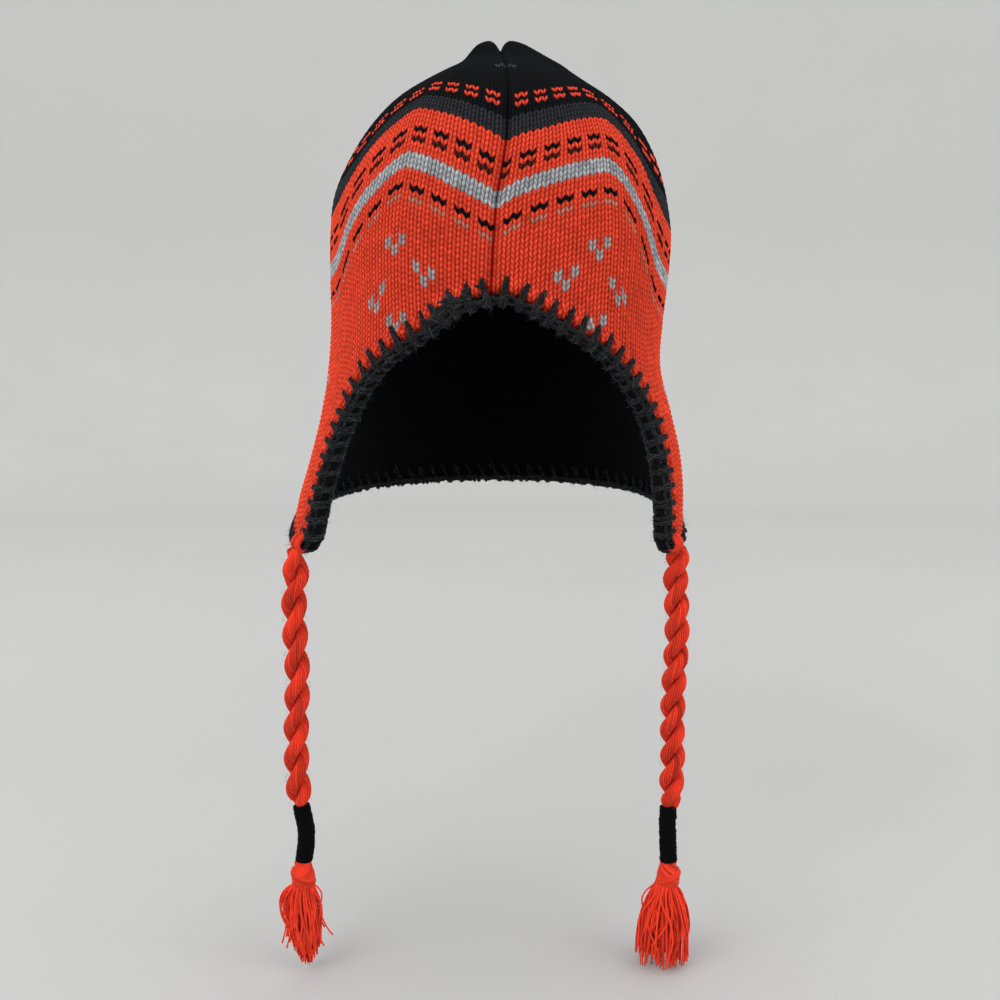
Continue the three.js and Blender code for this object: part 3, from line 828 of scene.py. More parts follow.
def knit_finish():
    """Knit: the stitch's own yarn colour, with painted shade in the grooves between the legs and beside
    the seams, deep and dark there as that colour times itself, with heathered fibres and a fine twist in
    the bump."""
    finish = Finish("knit_wool")
    place = finish.place()
    fibres = finish.noise(finish.place((1.0, 1.0, 0.45)), scale=2600.0, detail=2.0)
    patches = finish.noise(place, scale=38.0, detail=2.0)
    least, patchy, hairy, heathered = 0.92, 0.14, 0.26, 1.5
    level = least + patchy * patches + hairy * (fibres - MEAN)
    level = level + finish.attribute("heather") * heathered * (fibres - MEAN)
    # Painted shade: where the stitch relief is low, in the grooves, and beside the seams, the colour goes
    # over to the yarn colour times itself, darkened
    groove = finish.attribute("groove").within(0.05, 0.9)
    yarn = finish.attribute("yarn", "Color")
    light_in_groove, coarse = 0.26, 0.5
    deep = finish.dyed(finish.mix(1.0, yarn, yarn, "MULTIPLY"), light_in_groove)
    colour = finish.mix(groove, finish.dyed(yarn, level), deep)
    height = fibres + coarse * finish.noise(place, scale=900.0, detail=2.0)
    return finish.wool(colour, height, roughness=0.95, distance=0.00040, sheen=0.0, tint=WHITE)


def yarn_finish(name, colour, tint, twist, sheen, contrast):
    """Twisted two-ply yarn: fine ridges that wind along the strand once in each twist, in the bump and as
    painted shade between them, and a little difference from strand to strand. The shade attribute also
    brings painted shade to the cores and painted light to the tassel strands."""
    finish = Finish(name)
    turn, length = finish.uv()
    ridge = (2 * math.pi * (turn * 2 + length * (1.0 / twist))).sine() * 0.5 + 0.5
    fibres = finish.noise(finish.place(), scale=1500.0, detail=3.0)
    patches = finish.noise(finish.place(), scale=120.0, detail=2.0)
    # The colour level follows the ridges: painted shade between them, lighter on their crests
    least, ridge_shade, patchy, from_strand, ridge_height = 0.93, 0.08, 0.3, 0.22, 0.35
    level = least + ridge_shade * ridge + contrast * (fibres - MEAN) + patchy * (patches - MEAN)
    # The shade attribute holds each strand's own difference, painted shade on the cores and painted light
    # on the tassel strands
    level = level * (1 + from_strand * finish.attribute("shade"))
    dyed = finish.dyed((*colour, 1.0), level)
    height = ridge_height * ridge + fibres
    return finish.wool(dyed, height, roughness=0.9, distance=0.0003, sheen=sheen, tint=tint)


def fleece_finish(colour):
    """Brushed fleece: matt black with small tufts."""
    finish = Finish("fleece")
    tufts = finish.noise(finish.place(), scale=520.0, detail=4.0, roughness=0.7)
    wisps = finish.noise(finish.place(), scale=2600.0, detail=2.0)
    least, tufted, wispy = 0.6, 0.8, 0.4
    dyed = finish.dyed((*colour, 1.0), least + tufted * tufts)
    return finish.wool(dyed, tufts + wispy * wisps, roughness=0.96, distance=0.0012, sheen=0.02,
                       tint=FLEECE_SHEEN)


def paper_finish(stage):
    """Matt studio paper with the faintest mottle, and painted shade that darkens it towards the middle,
    where more light falls."""
    finish = Finish("studio_paper")
    mottle = finish.noise(finish.place(), scale=2.2, detail=2.0)
    least, mottled = 0.98, 0.04
    tone = from_least(stage.floor_shade_level, finish.distance().within(0.5, 2.3))
    dyed = finish.dyed((*stage.paper, 1.0), tone * (least + mottled * mottle))
    return finish.wool(dyed, mottle, roughness=0.85, distance=0.0001, sheen=0.0, tint=WHITE)


# Knitted cloth

def knit_columns():
    """Nominal places across the knit once round from the middle of the back, quarter by quarter.
    Stitches are counted from the front seam or the back seam; each column has its seam's azimuth,
    its stitch coordinate from there and the azimuths at the ends of its quarter."""
    last = math.pi / 2 * GIRTH_RADIUS / (knit().wale / MM)
    steps = np.arange(math.floor(last * COLUMNS_PER_STITCH) + 1) / COLUMNS_PER_STITCH
    outward = np.concatenate([steps, [last]])
    seams, places, edges = [], [], []
    for quarter, seam in enumerate((-math.pi, 0.0, 0.0, math.pi)):
        start = -math.pi + quarter * math.pi / 2
        run = outward if quarter in (0, 2) else -outward[::-1]
        seams.append(np.full(len(run), seam))
        places.append(run)
        edges.append(np.tile([start, start + math.pi / 2], (len(run), 1)))
    return np.concatenate(seams), np.concatenate(places), np.concatenate(edges)


def crown_scale(station):
    """Width of a stitch's share of the circle: the share of the girth to the power of the
    narrowing, and one below the girth."""
    share = np.clip(mean_width(station) / GIRTH_RADIUS, 0.001, 1.0)
    return np.where(station > GIRTH_STATION, 1.0, share ** CROWN_NARROWING)


def leg_fall(across):
    """How far the legs of a stitch have fallen at a place across it, in courses: a triangle wave
    that is lowest in the middle of each stitch."""
    return LEG_SLANT * (0.5 - np.abs(2 * np.mod(across, 1.0) - 1))


def knit_surface(columns, rows):
    """Nominal azimuth and station of each place of the grid. The station follows from the azimuth by
    course_station, and azimuth = seam + stitch * width / crown scale follows from the station, so
    they are worked out in turn until they settle."""
    seams, places, edges = columns
    wale, course = knit().wale / MM, knit().course / MM
    place, low, high = places[None, :], edges[None, :, 0], edges[None, :, 1]
    courses = np.maximum(rows[:, None] + leg_fall(place), COURSES[0])
    station = np.full(courses.shape, GIRTH_STATION)
    for _ in range(SETTLING_ROUNDS):
        turn = place * wale / (GIRTH_RADIUS * crown_scale(station))
        azimuth = np.clip(seams[None, :] + turn, low, high)
        station = np.clip(course_station(azimuth, courses, course), TOP_STATION, LAST_STATION)
    return azimuth, np.minimum(station, rim_station(leaned(azimuth, station)))


def knit_relief(azimuth, station, columns):
    """Height of the stitch relief and depth of its seams. Across a leg the height is a sine, and
    along it a flattened sine; the seams sink the cloth and flatten the stitches beside them."""
    seams, _, edges = columns
    wale, course = knit().wale / MM, knit().course / MM
    across = (azimuth - seams[None, :]) * GIRTH_RADIUS * crown_scale(station) / wale
    down = course_at(azimuth, station, course) - leg_fall(across)
    leg = np.sin(np.pi * np.mod(2 * across, 1.0)) ** LEG_FLATNESS
    run = np.abs(np.sin(np.pi * np.mod(down, 1.0)))
    relief = leg * from_least(LEG_END, run)
    edge = np.minimum(np.abs(azimuth - edges[None, :, 0]), np.abs(azimuth - edges[None, :, 1]))
    away = edge * mean_width(station)
    nearest = np.round(azimuth / (np.pi / 2))
    side = 1 - smoothstep(station, *SIDE_SEAM_END)
    full = np.where(nearest == 0, 1.0, np.where(np.abs(nearest) == 2, BACK_SEAM, side))
    beside = bell(away, SEAM_WIDTH) * full
    relief = relief * (1 - beside) + RIDGE_HEIGHT * bell(away, RIDGE_WIDTH) * (1 - full)
    return relief, beside


def chart_colours(columns, rows):
    """The yarn letter's index for each face of the grid, from the band chart and the hearts."""
    seams, places, edges = columns
    following = np.roll(places, -1)
    same = np.roll(edges[:, 0], -1) == edges[:, 0]
    middles = np.where(same, (following + places) / 2, places)
    stitch = np.floor(np.abs(middles)).astype(int)[None, :]
    on_right = (edges[:, 0] >= 0)[None, :]
    course = np.floor((rows[:-1] + rows[1:]) / 2).astype(int)[:, None]
    letters = np.where(course < 0, YARN_LETTERS.index("K"), YARN_LETTERS.index("R")) + 0 * stitch
    for row, (left, right) in BAND_CHART.items():
        for pattern, here in ((left, ~on_right), (right, on_right)):
            yarns = np.array([YARN_LETTERS.index(letter) for letter in pattern])
            letters = np.where((course == row) & here, yarns[np.mod(stitch, len(yarns))], letters)
    for place, top in HEART_PLACES:
        for step, pattern in enumerate(HEART_ROWS):
            for side, mark in enumerate(pattern):
                if mark == "X":
                    here = (course == top + step) & (stitch == place + side - 1)
                    letters = np.where(here, YARN_LETTERS.index("H"), letters)
    for place, row in CROWN_FLECKS:
        here = (course == row) & (stitch == place) & (seams == 0)[None, :]
        letters = np.where(here, YARN_LETTERS.index("A"), letters)
    return letters, stitch


def knit():
    """The settings of the knit."""
    return bpy.context.scene.hat_knit


def merged(azimuth, station, layer):
    """Index of the vertex that each place of a grid shares with every other place at the same
    azimuth, station and layer, and the first place of each vertex."""
    fine_turn, fine_station, station_room, layer_room, at_pole = 1e5, 1e4, 10**7, 4, 0.01
    once = np.where(azimuth > np.pi - 1 / fine_turn, azimuth - 2 * np.pi, azimuth)
    turn = np.round(once * fine_turn).astype(np.int64)
    turn = np.where(station < at_pole, 0, turn)
    down = np.round(station * fine_station).astype(np.int64)
    key = (turn * station_room + down) * layer_room + layer
    _, first, inverse = np.unique(key.ravel(), return_index=True, return_inverse=True)
    return inverse.reshape(key.shape), first


def knit_piece(name, rows, inner_steps, closes_at_pole, material):
    """One ring of the knit as a closed body: its relief outside, its edge, and a plain inside."""
    columns = knit_columns()
    azimuth, station = knit_surface(columns, rows)
    relief, beside = knit_relief(azimuth, station, columns)
    outside = (relief - RELIEF_MIDDLE) * knit().relief / MM - beside * knit().seam_depth / MM
    puff, shade = edge_puff(leaned(azimuth, station), station)
    # The edge puff's shade lowers the relief from which the painted groove shade is worked out, so the
    # cloth pressed in beside the edge stitches and at the rim gets painted shade
    outside, relief = outside + puff, relief * (1 - shade)
    letters, stitch = chart_colours(columns, rows)
    end_turn, end_station = azimuth[-1], station[-1]
    first_turn, first_station = azimuth[0], station[0]
    back = np.linspace(0, 1, inner_steps)[:, None]
    inner_turn = end_turn * (1 - back) + first_turn * back
    inner_station = end_station * (1 - back) + first_station * back
    if closes_at_pole:
        pole = np.zeros((1, azimuth.shape[1]))
        azimuth = np.concatenate([pole, azimuth, inner_turn, pole])
        station = np.concatenate([pole, station, inner_station, pole])
        outside = np.concatenate([pole, outside])
        letters = np.concatenate([letters[:1], letters])
        relief = np.concatenate([pole + RELIEF_AT_POLE, relief])
        beside = np.concatenate([pole, beside])
    else:
        azimuth = np.concatenate([azimuth, inner_turn])
        station = np.concatenate([station, inner_station])
    outer_rows, total_rows = len(outside), len(azimuth)
    inside = np.full((total_rows - outer_rows, azimuth.shape[1]), KNIT_DEPTH)
    depth = np.concatenate([-outside, inside])
    layer = np.zeros_like(azimuth, dtype=np.int64)
    layer[outer_rows:] = 1
    index, first = merged(azimuth, station, layer)
    turn, down = azimuth.ravel()[first], station.ravel()[first]
    points = form_point(leaned(turn, down), down, depth.ravel()[first])
    i = np.arange(total_rows - 1 if closes_at_pole else total_rows)[:, None]
    k = np.arange(azimuth.shape[1])[None, :]
    j, n = (i + 1) % total_rows, (k + 1) % azimuth.shape[1]
    quads = np.stack([index[i, k], index[j, k], index[j, n], index[i, n]], axis=-1)
    tone = np.full((len(i), azimuth.shape[1]), YARN_LETTERS.index("R"))
    tone[:outer_rows - 1] = letters[:outer_rows - 1]
    return stitched_mesh(name, points, quads, tone, first, outer_rows, relief, beside, stitch, material)


def stitched_mesh(name, points, quads, tone, first, outer_rows, relief, beside, stitch, material):
    """Drops the faces that have shrunk to a line, and makes the mesh with its yarn colours and the
    painted shade of its grooves and seams.
    """
    dyes = np.array([tuple(getattr(knit(), dye)) for dye, _ in YARNS.values()])
    heathers = np.array([heather for _, heather in YARNS.values()])
    courses, stitches, stride, patch, groove_slope, darkest_shade = 257, 509, 7, 40, 1.5, 0.8
    uneven = np.random.default_rng(5).normal(0.0, 1.0, (courses, stitches))
    rows, columns = np.indices(tone.shape)
    stitch = np.broadcast_to(stitch, tone.shape)
    wobble = uneven[np.mod(rows // ROWS_PER_STITCH, courses),
                    np.mod(stitch * stride + columns // patch, stitches)]
    flat, tone, wobble = quads.reshape(-1, 4), tone.ravel(), wobble.ravel()
    same = flat == np.roll(flat, -1, axis=1)
    crossed = (flat[:, 0] == flat[:, 2]) | (flat[:, 1] == flat[:, 3])
    blocks, chosen = [], []
    whole = (same.sum(axis=1) == 0) & ~crossed
    blocks.append(flat[whole])
    chosen.append(np.flatnonzero(whole))
    for corner in range(4):
        picked = same[:, corner] & (same.sum(axis=1) == 1) & ~crossed
        kept = [c for c in range(4) if c != corner]
        blocks.append(flat[picked][:, kept])
        chosen.append(np.flatnonzero(picked))
    chosen = np.concatenate(chosen)
    shape = Shape()
    blank = [np.zeros(block.shape + (2,)) for block in blocks]
    shape.add(points, blocks, blank, np.zeros(len(points)))
    obj = shape.build(name, material)
    mesh = obj.data
    sizes = np.concatenate([np.full(len(block), block.shape[1]) for block in blocks])
    strength = np.where(tone[chosen] == YARN_LETTERS.index("G"), UNEVEN_GREY, UNEVEN_YARN)
    colour = dyes[tone[chosen]] * (1 + strength * wobble[chosen])[:, None]
    colour = np.concatenate([np.clip(colour, 0, 1), np.ones((len(colour), 1))], axis=1)
    yarn = mesh.attributes.new("yarn", "FLOAT_COLOR", "CORNER")
    yarn.data.foreach_set("color", np.repeat(colour, sizes, axis=0).astype(np.float32).ravel())
    heather = mesh.attributes.new("heather", "FLOAT", "CORNER")
    heather.data.foreach_set("value", np.repeat(heathers[tone[chosen]], sizes).astype(np.float32))
    # Painted shade of the grooves: strongest where the stitch relief is lowest, and beside the seams
    deep = np.zeros(len(points))
    outer = first < outer_rows * relief.shape[1]
    deep[outer] = np.clip(1 - groove_slope * relief.ravel()[first[outer]], 0, 1) * darkest_shade
    deep[outer] = np.maximum(deep[outer], beside.ravel()[first[outer]])
    groove = mesh.attributes.new("groove", "FLOAT", "POINT")
    groove.data.foreach_set("value", deep.astype(np.float32))
    edges = np.empty(len(mesh.edges) * 2, np.int32)
    mesh.edges.foreach_get("vertices", edges)
    edges = edges.reshape(-1, 2)
    crosses = (first[edges] >= outer_rows * relief.shape[1]).sum(axis=1)
    rim_vertices = np.zeros(len(points), bool)
    rim_vertices[edges[crosses == 1].ravel()] = True
    sharp = mesh.attributes.new("sharp_edge", "BOOLEAN", "EDGE")
    sharp.data.foreach_set("value", rim_vertices[edges].all(axis=1) & (crosses != 1))
    return obj


# The cloth between the edge stitches, in mm: the station where it starts to puff, how far its middle
# is from the rim, and the width of the bulge, of the press under a stitch, of the tuck at the rim and
# of the painted shade there
PUFF_START, PUFF_MIDDLE = 150, 5.0
BULGE_WIDTH, PRESS_WIDTH, TUCK_WIDTH, PAINTED_SHADE_WIDTH = 2.9, 4.0, 2.3, 2.6
# Its height and depths in mm, and how much less the first two are behind the flap tips
BULGE, PRESS, TUCK = 3.2, 1.3, 1.9
BULGE_LESS, PRESS_LESS = 2.4, 0.7
# Places that are compared with the rim at once
PUFF_BLOCK = 4000


def edge_puff(azimuth, station):
    """How far the cloth puffs out between the edge stitches, and how much painted shade it gets: a
    bulge a few millimetres above the rim, sin^2 of the place between two stitches, pressed in under them
    and tucked in right at the rim, all as bell curves of the distance from the rim. The painted shade is
    strongest where the cloth is pressed in under a stitch and right at the rim."""
    puff, shade = np.zeros_like(azimuth), np.zeros_like(azimuth)
    near = station > PUFF_START
    points = form_point(azimuth[near], station[near], 0.0).astype(np.float32)
    loop = cloth_edge()
    rim = (loop["middle"] + loop["outward"] * CLOTH_DEPTH / 2 * MM).astype(np.float32)
    away, place = np.empty(len(points)), np.empty(len(points))
    for start in range(0, len(points), PUFF_BLOCK):
        block = slice(start, start + PUFF_BLOCK)
        square = (np.sum(points[block] ** 2, axis=1)[:, None] + np.sum(rim ** 2, axis=1)[None, :]
                  - 2 * points[block] @ rim.T)
        away[block] = np.sqrt(np.maximum(square.min(axis=1), 0)) / MM
        place[block] = np.argmin(square, axis=1) / len(rim)
    behind = smoothstep(np.abs(azimuth[near]), *TIP_BACK)
    between = np.sin(np.pi * place * stitch_count()) ** 2
    bulge = (BULGE - BULGE_LESS * behind) * between * bell(away - PUFF_MIDDLE, BULGE_WIDTH)
    pressed = (1 - between) * bell(away - PUFF_MIDDLE, PRESS_WIDTH)
    puff[near] = bulge - TUCK * bell(away, TUCK_WIDTH) - (PRESS - PRESS_LESS * behind) * pressed
    shade[near] = np.clip(0.9 * pressed ** 1.5 + bell(away, PAINTED_SHADE_WIDTH), 0, 1)
    return puff, shade


def cloth_edge():
    """The closed curve along the middle of the cloth's edge."""
    return rim_loop(RIM_STEPS, CLOTH_DEPTH / 2)


def stitch_count():
    """Whole number of edge stitches round the rim, an even one so that one stands in front."""
    pitch = bpy.context.scene.hat_edge.pitch
    return int(round(cloth_edge()["length"] / pitch / 2)) * 2


# Yarn and stage

# Sides of a tube that is one yarn, and of one in plain sight
YARN_SIDES, CLOSE_SIDES = 5, 6
# Painted shade of the cores that show between the yarns, which darkens their colour
TIE_CORE_PAINTED_SHADE, KNOT_CORE_PAINTED_SHADE = -3.0, -1.6
# Paper sheet in metres: the rings of its flat middle, its flat radius, the radius of its bend, and how
# high it goes
PAPER_RINGS = (0.25, 1.2)
PAPER_FLAT, PAPER_BEND, PAPER_TOP = 2.4, 0.9, 2.0
PAPER_SIDES, PAPER_BEND_STEPS = 96, 20
# Soft boxes: name, place and size in metres, power in watts and colour
LIGHTS = (
    ("key_light", (-1.3, -1.4, 1.1), 1.5, 21.5, (1.0, 0.99, 0.98)),
    ("fill_light", (1.6, -1.3, 0.6), 1.5, 14.5, (0.98, 0.99, 1.0)),
    ("top_light", (0.1, 0.2, 1.9), 1.8, 8.0, (1.0, 1.0, 1.0)),
    ("left_light", (-1.9, -0.2, 0.1), 1.4, 9.0, (1.0, 1.0, 1.0)),
    ("right_light", (1.9, -0.2, 0.1), 1.4, 8.0, (1.0, 1.0, 1.0)),
)
SURROUND_COLOUR, SURROUND_STRENGTH = (0.96, 0.96, 0.95, 1.0), 1.03


def ring_points(radius, turn, height):
    """Points at a radius, a turn and a height round an upright axis."""
    return np.stack([radius * np.cos(turn), radius * np.sin(turn), height + 0 * turn], axis=-1)


def fuzz(strands, radius, count, lengths, seed, thick=0.00009):
    """Loose fibres on yarns: each starts on a yarn's skin, runs off at a seeded slant and curls back,
    as an arc, and tapers to a point."""
    rng = np.random.default_rng(seed)
    rows = np.concatenate([np.concatenate([path[:, :-1], path[:, 1:]], axis=2).reshape(-1, 6)
                           for path in strands])
    rows = rows[rng.integers(0, len(rows), count)]
    start = rows[:, :3] + (rows[:, 3:] - rows[:, :3]) * rng.uniform(0, 1, (count, 1))
    along = unit(rows[:, 3:] - rows[:, :3]) * rng.choice([-1.0, 1.0], (count, 1))
    away = rng.normal(size=(count, 3))
    away = unit(away - along * np.sum(away * along, axis=1, keepdims=True))
    side = np.cross(along, away)
    most_bend, least_lift, most_lift = 0.35, 0.05, 0.42
    slowing, curl, taper = 0.25, 1.3, 0.7
    length = rng.uniform(*lengths, (count, 1))
    bend = rng.normal(0, most_bend, (count, 1))
    lift = rng.uniform(least_lift, most_lift, (count, 1))
    t = np.linspace(0, 1, 3)[None, :, None]
    base = (start + away * radius)[:, None]
    run = along[:, None] * (length[:, None] * t * (1 - slowing * t))
    rise = away[:, None] * (length * lift)[:, None] * t * (curl - t)
    sway = side[:, None] * (length * bend)[:, None] * t * t
    return Shape().tubes(base + run + rise + sway, thick * (1 - taper * t[:, :, 0]), sides=3)


# Operators

class HAT_OT_stage(bpy.types.Operator):
    """Sets up the camera, the paper floor and backdrop, and the soft lights"""
    bl_idname = "hat.stage"
    bl_label = "Build Stage"

    def execute(self, context):
        stage = context.scene.hat_stage
        camera_data = bpy.data.cameras.new("camera")
        camera_data.sensor_width = 36.0
        camera_data.lens = stage.lens
        camera_data.clip_start = 0.02
        camera = bpy.data.objects.new("camera", camera_data)
        camera.location = (0.0, -stage.camera_back, stage.camera_height)
        camera.rotation_euler = (math.pi / 2 - stage.camera_pitch, 0.0, 0.0)
        context.scene.collection.objects.link(camera)
        context.scene.camera = camera
        context.scene.view_settings.view_transform = "Standard"
        self.paper(context, stage)
        self.lights(context)
        return {"FINISHED"}

    def paper(self, context, stage):
        """One round sheet: flat in the middle, a quarter circle round it, and straight up from there."""
        bend = np.linspace(0, np.pi / 2, PAPER_BEND_STEPS)
        out, up = PAPER_BEND * np.sin(bend), PAPER_BEND * (1 - np.cos(bend))
        reach = np.concatenate([PAPER_RINGS, PAPER_FLAT + out, [PAPER_FLAT + PAPER_BEND]])
        height = np.concatenate([[0.0, 0.0], up, [PAPER_TOP]]) + stage.floor
        rings = ring_points(reach[:, None], round_turn(PAPER_SIDES), height[:, None]).reshape(-1, 3)
        i = np.arange(len(reach) - 1)[:, None] * PAPER_SIDES
        k = np.arange(PAPER_SIDES)[None, :]
        j, n = i + PAPER_SIDES, (k + 1) % PAPER_SIDES
        faces = np.stack([i + k, j + k, j + n, i + n], axis=-1).reshape(-1, 4)
        mesh = bpy.data.meshes.new("backdrop")
        mesh.from_pydata(rings.tolist(), [], faces.tolist() + [list(range(PAPER_SIDES))])
        mesh.polygons.foreach_set("use_smooth", np.ones(len(faces) + 1, bool))
        mesh.materials.append(paper_finish(stage))
        backdrop = bpy.data.objects.new("backdrop", mesh)
        context.scene.collection.objects.link(backdrop)

    def lights(self, context):
        """Large soft boxes from the upper left, right and above, and an even surround."""
        for name, place, size, power, colour in LIGHTS:
            data = bpy.data.lights.new(name, "AREA")
            data.size = size
            data.energy = power
            data.color = colour
            light = bpy.data.objects.new(name, data)
            light.location = place
            aim = -light.location
            light.rotation_euler = aim.to_track_quat("-Z", "Y").to_euler()
            context.scene.collection.objects.link(light)
        world = bpy.data.worlds.new("studio")
        world.use_nodes = True
        surround = world.node_tree.nodes["Background"]
        surround.inputs["Color"].default_value = SURROUND_COLOUR
        surround.inputs["Strength"].default_value = SURROUND_STRENGTH
        context.scene.world = world


# How the two top points of a tie's route are shifted under the yarn bundle: outward, back and up
TIE_TOP_SHIFTS = ((0.0008, -0.0012, 0.0105), (0.0006, -0.0006, 0.0))


def tie_rope(tie, settings):
    """The two plies of a tie and the fine yarns round them. Ply centres are path + r * (cos a, sin a)
    across the path, where a turns half round in each lobe; the yarns wind back the other way round
    each ply. Both draw in at the two ends."""
    route = np.array([tie["rope"][0]] + tie["rope"]) * MM
    for point, shift in enumerate(TIE_TOP_SHIFTS):
        route[point] += np.array(shift) * (tie["mirror"], 1.0, 1.0)
    path, length = even_steps(through_points(route[None], 400)[0], 120)
    travel = np.linspace(0, length, len(path))
    tail = smoothstep(length - travel, -0.001, 0.0055)
    head = smoothstep(travel, 0.0, 0.007)
    ply_radius = settings.ply / 2
    overlap, first_turn, yarn_pitch = 0.0002, 0.9, -0.032
    apart = (ply_radius - overlap) * from_least(0.35, tail) * from_least(0.55, head)
    wound = plied(path[None], apart, 2 * tie["lobe"] * MM, 2, phase=tie["mirror"] * first_turn)
    ring = (ply_radius - settings.yarn / 2) * from_least(0.62, tail) * from_least(0.8, head)
    fine = plied(wound, ring, yarn_pitch, settings.yarns)
    rng = np.random.default_rng(tie["seed"])
    shape = Shape()
    shape.tubes(fine, settings.yarn / 2 * 0.97, YARN_SIDES, rng.normal(0, 0.8, len(fine)))
    core = np.maximum(ring - settings.yarn * 0.1, 0.0005)
    # The cores of the plies get painted shade where they show between the fine yarns
    shape.tubes(wound, core, 8, np.full(2, TIE_CORE_PAINTED_SHADE))
    return shape, path, length


